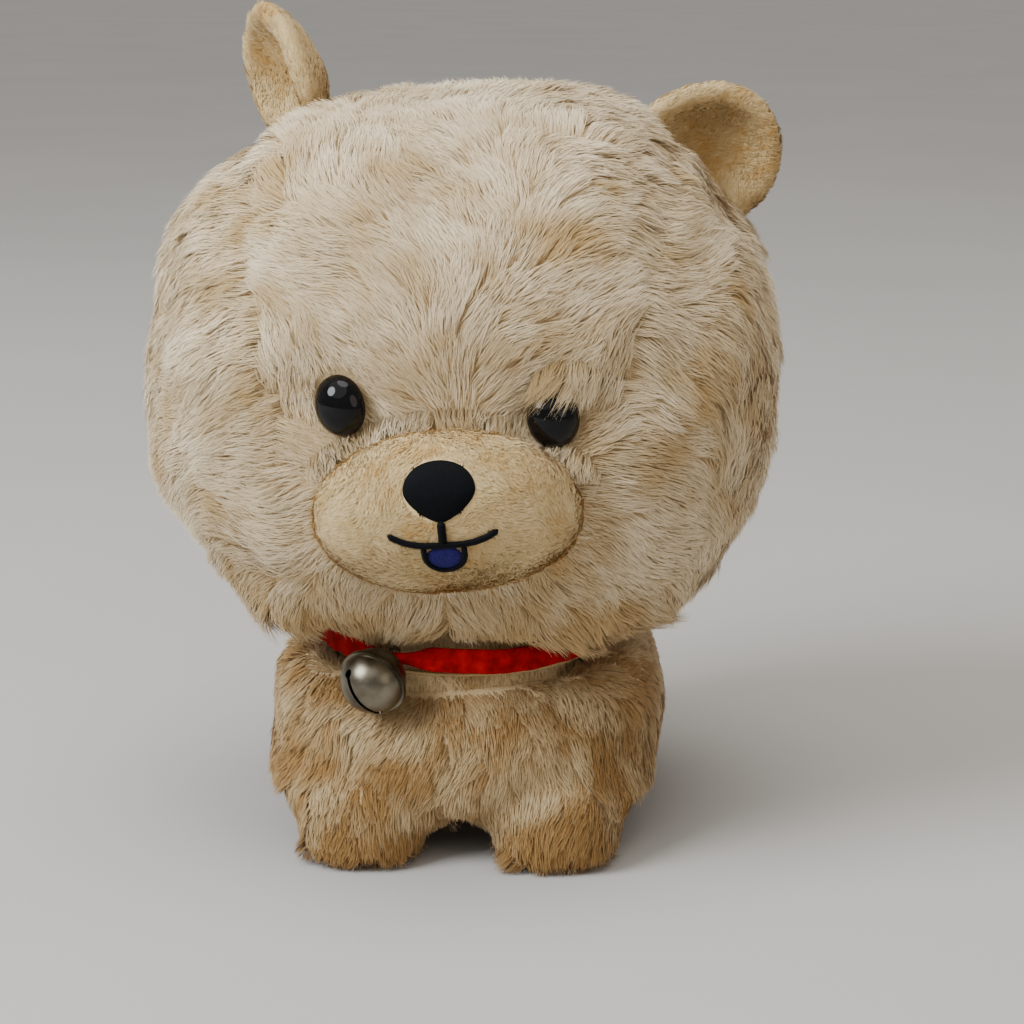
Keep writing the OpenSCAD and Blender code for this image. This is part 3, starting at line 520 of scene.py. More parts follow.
# thin tapering strands that stand on a skin, lie along the flow and gather into locks
def growPile(name, skin, body, material, pile, flow, keep=None, shade=None, seed=1):
    rng = np.random.default_rng(seed)
    mesh = skin.data
    mesh.calc_loop_triangles()
    corners = np.empty(len(mesh.loop_triangles) * 3, int)
    mesh.loop_triangles.foreach_get("vertices", corners)
    corners = corners.reshape(-1, 3)
    points, normals = pointsOf(skin), normalsOf(skin)
    a, b, c = points[corners[:, 0]], points[corners[:, 1]], points[corners[:, 2]]
    area = np.linalg.norm(np.cross(b - a, c - a), axis=1) / 2
    count = int(min(area.sum() * squareMm * pile["density"], pile["most"]))
    pick = rng.choice(len(area), count, p=area / area.sum())
    u, v = rng.random(count), rng.random(count)
    flip = u + v > 1
    u[flip], v[flip] = 1 - u[flip], 1 - v[flip]
    weights = np.stack([1 - u - v, u, v], axis=1)[:, :, None]
    root = (points[corners[pick]] * weights).sum(axis=1)
    out = unit((normals[corners[pick]] * weights).sum(axis=1))
    if keep is not None:
        good = keep(root, out, rng)
        root, out = root[good], out[good]
    count = len(root)

    lay = flow(root, out)
    lay = unit(lay - out * (lay * out).sum(axis=1, keepdims=True))
    swirl = pile["swirl"] * softNoise(root, pile["swirlSize"], seed + 10)
    swirl += rng.normal(0, strandWays["turn"], count)
    side = np.cross(out, lay)
    lay = lay * np.cos(swirl)[:, None] + side * np.sin(swirl)[:, None]

    lockRoots = rng.choice(count, max(1, int(count / pile["perLock"])), replace=False)
    tree = kdtree.KDTree(len(lockRoots))
    for index, spot in enumerate(root[lockRoots]):
        tree.insert(spot, index)
    tree.balance()
    lock = np.array([tree.find(spot)[1] for spot in root])
    lockLay = lay[lockRoots]
    lockTurn = rng.normal(0, pile["lockTurn"], len(lockRoots))
    lockSide = np.cross(out[lockRoots], lockLay)
    lockLay = lockLay * np.cos(lockTurn)[:, None] + lockSide * np.sin(lockTurn)[:, None]
    lockWave = softNoise(root[lockRoots], strandWays["lockWaveSize"], seed + 3)
    lockLong = rng.uniform(*strandWays["lockLong"], len(lockRoots)) * (1 + strandWays["lockWave"] * lockWave)
    lockLift = rng.normal(0, strandWays["lockLift"], len(lockRoots))
    lockTone = rng.normal(0, 1, len(lockRoots))

    def spine(start, up, along, long, lift):
        rise = (segments * (1 - pile["droop"] * segments))[None, :, None]
        run = (segments * (0.8 + 0.2 * segments))[None, :, None]
        high = (long * np.sin(lift))[:, None, None] * rise
        far = (long * np.cos(lift))[:, None, None] * run
        return start[:, None] + up[:, None] * high + along[:, None] * far

    lockLength = pile["length"] * lockLong
    lockSpine = spine(root[lockRoots], out[lockRoots], lockLay, lockLength, pile["lift"] + lockLift)
    lay = unit(lay * strandWays["ownLay"] + lockLay[lock] * strandWays["lockLay"])
    long = pile["length"] * lockLong[lock] * rng.uniform(*strandWays["long"], count)
    if "shorter" in pile:
        scale = pile["shorter"](root)
        long = long * scale
    else:
        scale = np.ones(count)
    lift = pile["lift"] + lockLift[lock] + rng.normal(0, strandWays["lift"], count)
    strand = spine(root, out, lay, long, lift)
    pull = (pile["pull"] * segments ** 1.3)[None, :, None]
    lockRoot = root[lockRoots][lock]
    target = lockSpine[lock] * scale[:, None, None] + lockRoot[:, None] * (1 - scale)[:, None, None]
    target = target + (root - lockRoot)[:, None] * strandWays["apart"]
    strand = strand * (1 - pull) + target * pull
    strand += rng.normal(0, 1, strand.shape) * pile["frizz"] * segments[None, :, None]
    if "bound" in pile:
        strand = pile["bound"](strand)

    heading = unit(strand[:, 1:] - strand[:, :-1])
    heading = np.concatenate([heading, heading[:, -1:]], axis=1)
    across = unit(np.cross(heading, out[:, None]))
    face = np.cross(across, heading)
    roll = rng.normal(0, strandWays["roll"], count)[:, None, None]
    across = across * np.cos(roll) + face * np.sin(roll)
    half = pile["width"] / 2 * rng.uniform(*strandWays["wide"], count)[:, None, None] * taper[None, :, None]
    left = strand[:, :2] - across[:, :2] * half
    right = strand[:, :2] + across[:, :2] * half
    cloud = np.empty((count, 5, 3))
    cloud[:, 0:4:2], cloud[:, 1:4:2], cloud[:, 4] = left, right, strand[:, 2]

    tone = strandWays["tone"] + strandWays["cloud"] * softNoise(root, strandWays["cloudSize"], 20)
    tone = tone + strandWays["spot"] * softNoise(root, strandWays["spotSize"], 21)
    tone += strandWays["lockTone"] * lockTone[lock] + rng.normal(0, strandWays["strandTone"], count)
    # the piece's own lighter and darker places, painted light and shade among them, go into the tone here
    if shade is not None:
        tone += shade(root)
    tone = np.clip(tone, 0.03, 0.97)

    corner = np.array([0, 1, 3, 2, 2, 3, 4])       # each strand is a four-sided face and a pointed one
    loops = (np.arange(count)[:, None] * 5 + corner[None]).ravel()
    sizes = np.tile([4, 3], count)
    starts = np.concatenate([[0], np.cumsum(sizes)[:-1]])
    data = bpy.data.meshes.new(name)
    data.vertices.add(count * 5)
    data.vertices.foreach_set("co", cloud.ravel())
    data.loops.add(len(loops))
    data.loops.foreach_set("vertex_index", loops)
    data.polygons.add(len(sizes))
    data.polygons.foreach_set("loop_start", starts)
    data.polygons.foreach_set("use_smooth", np.ones(len(sizes), bool))
    data.update(calc_edges=True)
    uv = data.uv_layers.new(name="OFBake")
    sideShift = np.array([-1, 1, 1, -1, -1, 1, 0]) * 0.004
    coords = np.empty((count, 7, 2))
    coords[:, :, 0] = tone[:, None] + sideShift[None]
    coords[:, :, 1] = np.array([0.02, 0.02, 0.5, 0.5, 0.5, 0.5, 0.98])[None]
    uv.data.foreach_set("uv", coords.ravel())
    facing = unit(strandWays["faceOut"] * out[:, None] + strandWays["faceUp"] * unit(np.cross(across, heading)))
    shading = np.empty((count, 5, 3))
    shading[:, 0:4:2] = shading[:, 1:4:2] = facing[:, :2]
    shading[:, 4] = facing[:, 2]
    data.normals_split_custom_set_from_vertices(shading.reshape(-1, 3).tolist())
    obj = bpy.data.objects.new(name, data)
    bpy.context.scene.collection.objects.link(obj)
    finishPiece(obj, body, material)
    print("pile", name, count)


head = {
    "power": 2.3,           # squareness of the head
    "up": headUp, "down": 84 * mm, "cut": 70 * mm,
    "pile": 2.8 * mm,       # depth of the pile over the skin
    "chin": 4.5 * mm,       # how far the chin sags
    "jaw": 3.5 * mm,        # how much further the cheeks sag beside it
    "lumps": 1.9 * mm, "lumpSize": 60 * mm, "dimples": 1.2 * mm, "dimpleSize": 26 * mm,
    "hollow": 4.0 * mm, "hollowSize": 12 * mm, "hollowBack": 9 * mm,     # what each eye pulls in
    "dent": 1.5 * mm, "dentWide": 0.16,                                  # along the muzzle's seam
}
headNodes = ["forehead_gusset", "head_back", "cheek_left", "cheek_right"]
headHalf = np.array([(headHigh[0] - headLow[0]) / 2, (headHigh[1] - headLow[1]) / 2, 1])
eyeTip = {}
for side in ("left", "right"):
    eyeCad = pointsOf(nodes["eye_" + side])
    sign = 1 if side == "left" else -1
    gaze = np.array([sign * math.sin(math.radians(22)), -math.cos(math.radians(22)), 0])
    reach = eyeCad @ gaze
    eyeTip[side] = (eyeCad[reach > reach.max() - 0.6 * mm].mean(axis=0), gaze)

muzzleLow, muzzleHigh = boxOf("muzzle_cover")
muzzleMid = (muzzleLow + muzzleHigh) / 2
muzzle = {
    "wide": 80 * mm, "high": 52 * mm, "out": 17 * mm, "roll": math.radians(4), "pile": 0.8 * mm,
    "jowl": 0.10,           # how much wider its lower half is
}


def headReach(directions):
    halves = np.tile(headHalf, (len(directions), 1))
    halves[:, 2] = np.where(directions[:, 2] > 0, head["up"], head["down"])
    reach = blockReach(directions, halves, head["power"])
    floorReach = head["cut"] / np.maximum(-directions[:, 2], 1e-6)
    return np.where(directions[:, 2] < 0, np.minimum(reach, floorReach), reach)


# a place of the face, measured along and across the tilted muzzle
def onMuzzlePlane(x, z):
    z = z - muzzleMid[2]
    along = x * math.cos(muzzle["roll"]) + z * math.sin(muzzle["roll"])
    return along, z * math.cos(muzzle["roll"]) - x * math.sin(muzzle["roll"])


# the way back, from the muzzle's own plane to the face
def offMuzzlePlane(flatX, flatZ):
    x = flatX * math.cos(muzzle["roll"]) - flatZ * math.sin(muzzle["roll"])
    return x, muzzleMid[2] + flatZ * math.cos(muzzle["roll"]) + flatX * math.sin(muzzle["roll"])


# share of the muzzle's outline at a place of the face: 1 on its seam
def muzzleShare(x, z):
    turnedX, turnedZ = onMuzzlePlane(x, z)
    turnedZ = turnedZ / (muzzle["high"] / 2)
    wide = muzzle["wide"] / 2 * (1 + muzzle["jowl"] * np.clip(-turnedZ, 0, 1))
    return np.hypot(turnedX / wide, turnedZ)


def makeHeadSkin():
    obj, directions = ball("head_skin", 6)
    points = headMid + directions * (headReach(directions) - head["pile"])[:, None]
    lumps = head["lumps"] * softNoise(points, head["lumpSize"], 5)
    lumps = lumps + head["dimples"] * softNoise(points, head["dimpleSize"], 6)
    for tip, gaze in eyeTip.values():
        gap = np.linalg.norm(points - (tip - gaze * head["hollowBack"]), axis=1)
        lumps -= head["hollow"] * np.exp(-(gap / head["hollowSize"]) ** 2)
    front = points[:, 1] < headMid[1]
    seam = np.exp(-((muzzleShare(points[:, 0], points[:, 2]) - 1.0) / head["dentWide"]) ** 2)
    lumps -= np.where(front, head["dent"] * seam, 0)
    points += directions * lumps[:, None]
    chin = ease(-points[:, 1], -headMid[1], -headMid[1] + 30 * mm)
    chin *= ease(-points[:, 2], -headLow[2] - 26 * mm, -headLow[2] - 8 * mm)
    aside = ease(points[:, 0], 18 * mm, 38 * mm) + ease(-points[:, 0], 38 * mm, 50 * mm)
    points[:, 2] -= (head["chin"] + head["jaw"] * aside) * chin
    setPoints(obj, points)
    return puffed(obj, 5 * mm, 2.6 * mm, headNodes)


headSkin = makeHeadSkin()
headSkinNames = ["forehead_skin", "head_back_skin", "cheek_left_skin", "cheek_right_skin"]
headPieces = cutApart(headSkin, headNodes, headSkinNames)
print("head skin ready")

bridge = np.array([0.0, headLow[1], muzzleMid[2] + 22 * mm])


# the pile fans out from the bridge of the nose and hangs down over the cheeks and the nape
def headFlow(root, out):
    away = root - bridge
    flow = np.stack([away[:, 0] * 1.2, away[:, 1] * 0.35, away[:, 2]], axis=1)
    aside = ease(np.abs(root[:, 0]), 35 * mm, 85 * mm)
    behind = ease(root[:, 1], -35 * mm, 25 * mm)
    drop = np.maximum(aside * 0.8, behind)[:, None]
    return unit(flow) * (1 - drop) + np.array([0, 0.1, -1.0]) * drop


def offTheFace(root, out, rng):
    front = root[:, 1] < headMid[1] - 30 * mm
    good = ~(front & (muzzleShare(root[:, 0], root[:, 2]) < 0.93))
    for tip, gaze in eyeTip.values():
        away = root - tip
        away = away - (away @ gaze)[:, None] * gaze
        good &= ~front | (np.hypot(away @ np.array([gaze[1], -gaze[0], 0]) / 8.2, away[:, 2] / 9.4) > mm)
    return good & (out[:, 2] > -0.995)


def headLengths(root):
    front = root[:, 1] < headMid[1] - 30 * mm
    share = muzzleShare(root[:, 0], root[:, 2])
    near = np.where(front, ease(share, 0.92, 1.25), 1.0)
    scale = 0.55 + 0.45 * near
    aside = ease(root[:, 0], 18 * mm, 36 * mm) + ease(-root[:, 0], 40 * mm, 48 * mm)
    jaw = ease(-root[:, 2], -headLow[2] - 14 * mm, -headLow[2]) * aside
    scale = np.where(front, scale * (1 + 0.75 * jaw), scale)
    for tip, gaze in eyeTip.values():
        gap = np.linalg.norm(root - (tip - gaze * 9 * mm), axis=1)
        scale *= 0.60 + 0.40 * ease(gap, 9 * mm, 18 * mm)
    return scale


headPileSpec = {
    "density": 2.3, "most": 65000, "length": 9.5 * mm, "width": 0.31 * mm, "lift": 0.50, "droop": 0.50,
    "swirl": 0.9, "swirlSize": 42 * mm, "perLock": 100, "lockTurn": 0.20, "pull": 0.22, "frizz": 0.50 * mm,
}


# darker in a thin line above the right eye, painted shade where the pile parts, and in a small spot near the
# crown; lighter on the crown, painted light on the top of the head; darker low down, painted shade under the
# head
def headShade(root):
    right, up = (root - eyeTip["right"][0])[:, ::2].T
    # painted shade: a thin dark line where the pile parts above the right eye
    part = np.exp(-((right + 1.5 * mm) / (0.9 * mm)) ** 2) * np.exp(-((up - 17 * mm) / (4 * mm)) ** 2)
    spot = np.exp(-((right - 14 * mm) / (2.2 * mm)) ** 2 - ((up - 74 * mm) / (1.6 * mm)) ** 2)
    front = root[:, 1] < headMid[1]
    # painted light: the top of the head lighter
    crownLight = ease(root[:, 2], headHigh[2] - 34 * mm, headHigh[2] - 6 * mm) * 0.24
    # painted shade: the head darker low down, on the chin and jaw
    low = ease(-root[:, 2], -muzzleLow[2] - 6 * mm, -headLow[2]) * 0.46
    return np.where(front, -0.5 * part - 0.4 * spot, 0) + crownLight - low


# locks from above the left eye that fall over its upper half
browRoot = eyeTip["left"][0] + np.array([2 * mm, 3 * mm, 13.5 * mm])
browSpec = dict(headPileSpec, density=4.5, length=14 * mm, lift=0.85, droop=0.35, pull=0.25, perLock=60,
                swirl=0.3, lockTurn=0.3, width=0.24 * mm, frizz=0.8 * mm)
browSize = np.array([0.65, 0.6, 1.2])       # the patch they stand on is wider than it is high
growPile("brow_locks", headPieces["forehead_gusset"], "head", headPile, browSpec,
         lambda root, out: np.tile([-0.35, 0.0, -1.0], (len(root), 1)),
         lambda root, out, rng: np.linalg.norm((root - browRoot) * browSize, axis=1) < 6.5 * mm,
         lambda root: -0.22, seed=131)


# short locks that hang over the upper edge of the muzzle
fringeSpec = dict(browSpec, density=3.2, length=12 * mm, lift=1.2, droop=0.45, width=0.28 * mm, frizz=0.6 * mm)


def fringeFlow(root, out):
    return np.stack([-0.4 * root[:, 0] / (40 * mm), 0 * root[:, 0], -np.ones(len(root))], axis=1)


def fringeLine(root, out, rng):
    near = np.abs(muzzleShare(root[:, 0], root[:, 2]) - 1.08) < 0.09
    return near & (root[:, 1] < headMid[1]) & (root[:, 2] > muzzleMid[2] + 12 * mm)


growPile("muzzle_fringe", headPieces["forehead_gusset"], "head", headPile, fringeSpec, fringeFlow,
         fringeLine, lambda root: -0.06, seed=132)

headPanelSpec = dict(headPileSpec, shorter=headLengths)
for seed, (panel, piece) in enumerate(headPieces.items()):
    growPile(panel + "_pile", piece, "head", headPile, headPanelSpec, headFlow, offTheFace,
             headShade, seed=101 + seed)
    thickened(piece, 1.2 * mm)
    finishPiece(smoothShaded(piece), "head", backing, [panel])


torso = {
    "power": 3.0, "lowPower": 2.2, "pile": 2.2 * mm,
    "legPower": 2.6, "legMid": 9 * mm, "legHigh": 26 * mm, "legPile": 2.6 * mm,
    "shoulder": 0.55, "chest": 0.3,     # how far the top rises beside the neck and in front of it
    "lumps": 1.0 * mm, "lumpSize": 45 * mm, "dimples": 0.6 * mm, "dimpleSize": 20 * mm,
}
bodyNodes = ["body_side_left", "body_side_right", "belly_gusset"]
legNodes = ["leg_front_left", "leg_front_right", "leg_rear_left", "leg_rear_right"]
soleNodes = [name.replace("leg", "sole") for name in legNodes]
allBodyNodes = bodyNodes + legNodes + soleNodes
bodyLow, bodyHigh = boxOf(*bodyNodes)
bodyMid, bodyHalf = (bodyLow + bodyHigh) / 2, (bodyHigh - bodyLow) / 2
neckAxis = pivotOf("head_turn")


# distance from the neck's axis, and degrees round it from the front
def roundNeck(points):
    aside, behind = points[:, 0] - neckAxis[0], points[:, 1] - neckAxis[1]
    return np.hypot(aside, behind), np.degrees(np.arctan2(aside, -behind))


def makeBodySkin():
    obj, directions = ball("body_skin", 6)
    inner = bodyHalf - torso["pile"]
    square = torso["power"] + torso["lowPower"] * ease(-directions[:, 2], 0.0, 0.3)
    points = bodyMid + directions * blockReach(directions, inner, square[:, None])[:, None]
    far, around = roundNeck(points)
    beside = ease(np.abs(around), 40, 66)
    chest = torso["chest"] * (1 - beside) * ease(points[:, 0], -14 * mm, 4 * mm)
    shoulders = (chest + 0.2 + 0.8 * beside) * (1 - 0.3 * ease(np.abs(around), 100, 150))
    shoulders *= 1 - ease(points[:, 1], 45 * mm, 72 * mm)
    above = np.maximum(points[:, 2] - bodyMid[2], 0)
    points[:, 2] += above * torso["shoulder"] * shoulders
    groove = 1 - ease(far, 46.5 * mm, 50 * mm)
    points[:, 2] -= groove * np.maximum(points[:, 2] - bodyHigh[2] + torso["pile"], 0)
    lumps = torso["lumps"] * softNoise(points, torso["lumpSize"], 15)
    lumps = lumps + torso["dimples"] * softNoise(points, torso["dimpleSize"], 16)
    points += directions * lumps[:, None]
    setPoints(obj, points)
    parts = [obj]
    for name in legNodes:
        low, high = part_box(name)
        mid = np.array([(low[0] + high[0]) / 2, (low[1] + high[1]) / 2, torso["legMid"]])
        half = np.array([(high[0] - low[0]) / 2 - torso["legPile"]] * 2 + [torso["legHigh"]])
        leg, directions = ball(name + "_form", 5)
        points = mid + directions * blockReach(directions, half, torso["legPower"])[:, None]
        points[:, 2] = np.maximum(points[:, 2], 1.6 * mm)
        setPoints(leg, points)
        parts.append(leg)
    return puffed(joined(parts), 4.5 * mm, 2.2 * mm, allBodyNodes)


def floorBound(strand):
    strand[..., 2] = np.maximum(strand[..., 2], 0.25 * mm)
    return strand


bodySkin = makeBodySkin()
bodySkinPoints = pointsOf(bodySkin)
bodySkinPoints[:, 2] = np.maximum(bodySkinPoints[:, 2], 1.0 * mm)
setPoints(bodySkin, bodySkinPoints)
bodyPieces = cutApart(bodySkin, allBodyNodes, [name + "_skin" for name in allBodyNodes])
print("body skin ready")


def bodyFlow(root, out):
    flow = np.zeros_like(root)
    flow[:, 0] = root[:, 0] * 4
    flow[:, 1] = 0.15 + 0.8 * ease(root[:, 2], 40 * mm, 58 * mm) * ease(root[:, 1], -50 * mm, 10 * mm)
    flow[:, 2] = -1.0
    return flow


def legFlow(root, out):
    return out * np.array([1, 1, 0]) * 0.9 + np.array([0, 0, -0.8])


def neckGap(root, out, rng):
    return ~((roundNeck(root)[0] < 43 * mm) & (root[:, 2] > 40 * mm))


def bodyLengths(root):
    around = roundNeck(root)[1]
    collar = ease(root[:, 2], 42 * mm, 56 * mm) * (1 - ease(np.abs(around + 8), 32, 60))
    return 1 - 0.15 * collar


# lighter in a swirl on the chest; the whole body a step darker, painted shade from the head above it; darker
# still towards the feet, painted shade near the floor
def bodyShade(root):
    swirlSpot = np.array([3 * mm, bodyLow[1] + 6 * mm, 31 * mm])
    gap = np.linalg.norm(root - swirlSpot, axis=1)
    # painted shade: the legs darker towards the floor
    feetShade = 1 - ease(root[:, 2], 4 * mm, 26 * mm)
    return 0.5 * np.exp(-(gap / (6 * mm)) ** 2) - 0.22 - 0.35 * feetShade


bodyPileSpec = {
    "density": 2.4, "most": 65000, "length": 7.0 * mm, "width": 0.32 * mm, "lift": 0.42, "droop": 0.50,
    "swirl": 0.7, "swirlSize": 34 * mm, "perLock": 110, "lockTurn": 0.16, "pull": 0.22, "frizz": 0.26 * mm,
}
bodyPanelSpec = dict(bodyPileSpec, shorter=bodyLengths, bound=floorBound)
legPileSpec = dict(bodyPanelSpec, length=6.5 * mm, swirl=0.35, lift=0.50)
solePileSpec = dict(bodyPanelSpec, density=0.6, length=2.4 * mm, lift=0.3)
for seed, (panel, piece) in enumerate(bodyPieces.items()):
    onLeg, onSole = panel in legNodes, panel in soleNodes
    spec = solePileSpec if onSole else legPileSpec if onLeg else bodyPanelSpec
    flow = legFlow if onLeg or onSole else bodyFlow
    growPile(panel + "_pile", piece, "body", bodyPile, spec, flow, neckGap,
             bodyShade, seed=201 + seed)
    thickened(piece, 1.0 * mm)
    finishPiece(smoothShaded(piece), "body", backing, [panel])


neck = {"radius": 41.5 * mm, "pile": 3.0 * mm}
neckLow, neckHigh = boxOf("neck_stuffing")


def makeNeck():
    deselect()
    bpy.ops.mesh.primitive_cylinder_add(vertices=96, radius=neck["radius"], depth=neckHigh[2] - neckLow[2],
                                        location=(0, neckAxis[1], (neckHigh[2] + neckLow[2]) / 2))
    obj = named("neck_skin")
    bpy.ops.object.transform_apply(location=True, rotation=True, scale=True)
    return puffed(obj, 5 * mm, 0.8 * mm)


neckSkin = makeNeck()
neckPileSpec = dict(bodyPileSpec, density=0.9, length=5 * mm, lift=0.5)
growPile("neck_pile", neckSkin, "neck", bodyPile, neckPileSpec, bodyFlow,
         lambda root, out, rng: np.abs(out[:, 2]) < 0.6, seed=301)
finishPiece(smoothShaded(neckSkin), "neck", backing, ["neck_stuffing"])


tail = {"lean": math.radians(24), "pile": 5.0 * mm, "wide": 12.5 * mm, "deep": 11 * mm, "long": 23 * mm}
tailRoot = pivotOf("tail_wag")
tailAxis = np.array([0, math.sin(tail["lean"]), math.cos(tail["lean"])])
tailMid = tailRoot + tailAxis * (tail["long"] - 1.5 * mm)
tailNodes = ["tail_cover_left", "tail_cover_right"]


def makeTail():
    obj, directions = ball("tail_skin", 5)
    halves = np.array([tail["wide"], tail["deep"], tail["long"]]) - tail["pile"] * np.array([1, 1, 0.8])
    points = directions * blockReach(directions, halves, 2.1)[:, None]
    points[:, 2] = np.where(points[:, 2] < 0, points[:, 2] * 1.25, points[:, 2])
    turnBack = np.array(Euler((-tail["lean"], 0, 0)).to_matrix())
    setPoints(obj, tailMid + points @ turnBack.T)
    return puffed(obj, 3 * mm, 1.0 * mm, tailNodes)


tailPieces = cutApart(makeTail(), tailNodes, ["tail_left_skin", "tail_right_skin"])
tailPileSpec = dict(bodyPileSpec, density=2.2, length=12 * mm, lift=0.75, swirl=0.5, perLock=20)
for seed, (panel, piece) in enumerate(tailPieces.items()):
    growPile(panel + "_pile", piece, "tail", bodyPile, tailPileSpec,
             lambda root, out: np.tile(tailAxis, (len(root), 1)) + out * 0.2, seed=321 + seed)
    thickened(piece, 1.0 * mm)
    finishPiece(smoothShaded(piece), "tail", backing, [panel])
print("neck and tail ready")


def faceY(x, z):
    down = np.where(z > headMid[2], head["up"], head["down"])
    level = 1 - np.abs(x / headHalf[0]) ** head["power"] - np.abs((z - headMid[2]) / down) ** head["power"]
    return headMid[1] - headHalf[1] * np.maximum(level, 0.05) ** (1 / head["power"])


def makeMuzzle():
    obj, directions = ball("muzzle_skin", 5)
    share = np.hypot(directions[:, 0], directions[:, 2])
    flatX = directions[:, 0] * (muzzle["wide"] / 2 - muzzle["pile"])
    flatX *= 1 + muzzle["jowl"] * np.clip(-directions[:, 2], 0, 1)
    flatZ = directions[:, 2] * (muzzle["high"] / 2 - muzzle["pile"])
    x, z = offMuzzlePlane(flatX, flatZ)
    dome = muzzle["out"] * np.maximum(0, 1 - share ** 2.4) ** 0.62 + 1.2 * mm - muzzle["pile"]
    depth = np.where(directions[:, 1] < 0, dome, -5 * mm * np.sqrt(np.maximum(0, 1 - share ** 2)))
    setPoints(obj, np.stack([x, faceY(x, z) - depth, z], axis=1))
    return puffed(obj, 2.4 * mm, 0.9 * mm)


muzzleSkin = makeMuzzle()
muzzleTree = BVHTree.FromObject(muzzleSkin, bpy.context.evaluated_depsgraph_get())


noseShape = {"wide": 10.2 * mm, "high": 9.0 * mm, "z": 10.6 * mm}


# no pile stands where the nose is embroidered
def offTheNose(root, out, rng):
    aside, high = onMuzzlePlane(root[:, 0], root[:, 2])
    high = high - noseShape["z"]
    return (out[:, 1] < 0.3) & (np.hypot(aside / noseShape["wide"], high / noseShape["high"]) > 1.0)


def muzzleFlow(root, out):
    away = root - np.array([0, 0, muzzleMid[2] + 8 * mm])
    return away * np.array([1, 0.3, 1])


shortSpec = {
    "density": 12.0, "most": 66000, "length": 2.3 * mm, "width": 0.22 * mm, "lift": 0.55, "droop": 0.40,
    "swirl": 0.6, "swirlSize": 18 * mm, "perLock": 30, "lockTurn": 0.2, "pull": 0.15, "frizz": 0.08 * mm,
}
growPile("muzzle_pile", muzzleSkin, "head", shortPile, shortSpec, muzzleFlow, offTheNose,
         seed=401)
finishPiece(smoothShaded(muzzleSkin), "head", shortBacking, ["muzzle_cover"])


stitch = {"ridge": 0.46 * mm, "depth": 0.16 * mm, "over": 1.5 * mm}


# depth of the muzzle's skin in front of the face, over places of the muzzle's own plane
def onMuzzle(flatX, flatZ):
    x, z = offMuzzlePlane(flatX, flatZ)
    y = [muzzleTree.ray_cast(Vector((a, -0.3, b)), Vector((0, 1, 0)))[0][1] for a, b in zip(x, z)]
    return np.stack([x, np.array(y), z], axis=1)


def gridSheet(name, columns, rows):
    deselect()
    bpy.ops.mesh.primitive_grid_add(x_subdivisions=columns, y_subdivisions=rows, size=2)
    obj = named(name)
    points = pointsOf(obj)
    return obj, points[:, 0], points[:, 1]


# gives a flat sheet its points and turns it to face out of the muzzle
def laidOn(obj, points):
    setPoints(obj, points)
    outwards(obj)
    if normalsOf(obj)[:, 1].mean() > 0:
        obj.data.flip_normals()
    return obj


# a raised pad of side by side threads on the muzzle
def stitchedPad(name, columns, rows, shape, ridgeAlong, material, replaced):
    obj, u, v = gridSheet(name, columns, rows)
    discU, discV = u * np.sqrt(1 - v * v / 2), v * np.sqrt(1 - u * u / 2)
    flatX, flatZ = shape(discU, discV)
    base = onMuzzle(flatX, flatZ)
    edge = np.hypot(discU, discV)
    across = flatX if ridgeAlong == "z" else flatZ
    ridge = stitch["depth"] * np.abs(np.sin(math.pi * across / stitch["ridge"]))
    dome = stitch["over"] * (1 - 0.75 * edge ** 5)
    base[:, 1] -= dome + ridge
    thickened(laidOn(obj, base), 0.9 * mm)
    finishPiece(smoothShaded(obj), "head", material, replaced)


# a rounded line of cross stitches along a path on the muzzle
def stitchedLine(obj, u, v, path, width, over):
    steps = (u + 1) / 2 * (len(path) - 1)
    index = np.clip(steps.astype(int), 0, len(path) - 2)
    share = (steps - index)[:, None]
    spot = path[index] * (1 - share) + path[index + 1] * share
    heading = unit(path[np.minimum(index + 1, len(path) - 1)] - path[np.maximum(index - 1, 0)])
    aside = np.stack([-heading[:, 1], heading[:, 0]], axis=1)
    lengths = np.concatenate([[0], np.cumsum(np.linalg.norm(np.diff(path, axis=0), axis=1))])
    run = np.interp(steps, np.arange(len(path)), lengths)
    ends = np.minimum(1, np.minimum(run, lengths[-1] - run) / (width * 0.6) + 0.25)
    spot = spot + aside * (v * width / 2 * ends)[:, None]
    base = onMuzzle(spot[:, 0], spot[:, 1])
    dome = over * np.sqrt(np.maximum(0, 1 - (v * 0.95) ** 2)) * ends + 0.5 * mm
    ridge = 0.10 * mm * np.abs(np.sin(math.pi * run / (0.5 * mm) + v))
    base[:, 1] -= dome + ridge
    return thickened(laidOn(obj, base), 0.7 * mm)


def noseOutline(u, v):
    pinch = np.where(v < 0, 1 - 0.42 * np.abs(v) ** 1.6, 1 - 0.10 * v ** 2)
    flatTop = 1 - 0.12 * (1 - u * u) * (v > 0)
    return noseShape["wide"] * u * pinch, noseShape["z"] + noseShape["high"] * v * flatTop


stitchedPad("nose", 130, 60, noseOutline, "z", blackThread, ["nose_embroidery"])

mouth = {
    "half": 15.6 * mm, "z": -5.4 * mm, "lift": 3.6 * mm, "curl": 3.2,
    "width": 2.1 * mm, "stemWidth": 1.15, "over": 1.5 * mm,
}
span = np.linspace(-1, 1, 41)
smile = np.stack([span * mouth["half"], mouth["z"] + mouth["lift"] * np.abs(span) ** mouth["curl"]], axis=1)
stemTop = noseShape["z"] - noseShape["high"] + 0.6 * mm
stem = np.stack([np.zeros(12), np.linspace(stemTop, mouth["z"], 12)], axis=1)
mouthObj, u, v = gridSheet("mouth", 150, 9)
stitchedLine(mouthObj, u, v, smile, mouth["width"], mouth["over"])
stemObj, u, v = gridSheet("mouth_stem", 40, 9)
stitchedLine(stemObj, u, v, stem, mouth["width"] * mouth["stemWidth"], mouth["over"])

tongue = {"half": 5.6 * mm, "long": 8.2 * mm, "rim": 1.7 * mm}
tongueTop = mouth["z"] - 0.2 * mm


def tongueOutline(u, v):
    return tongue["half"] * u * (1 - 0.06 * v), tongueTop - tongue["long"] / 2 + tongue["long"] / 2 * v


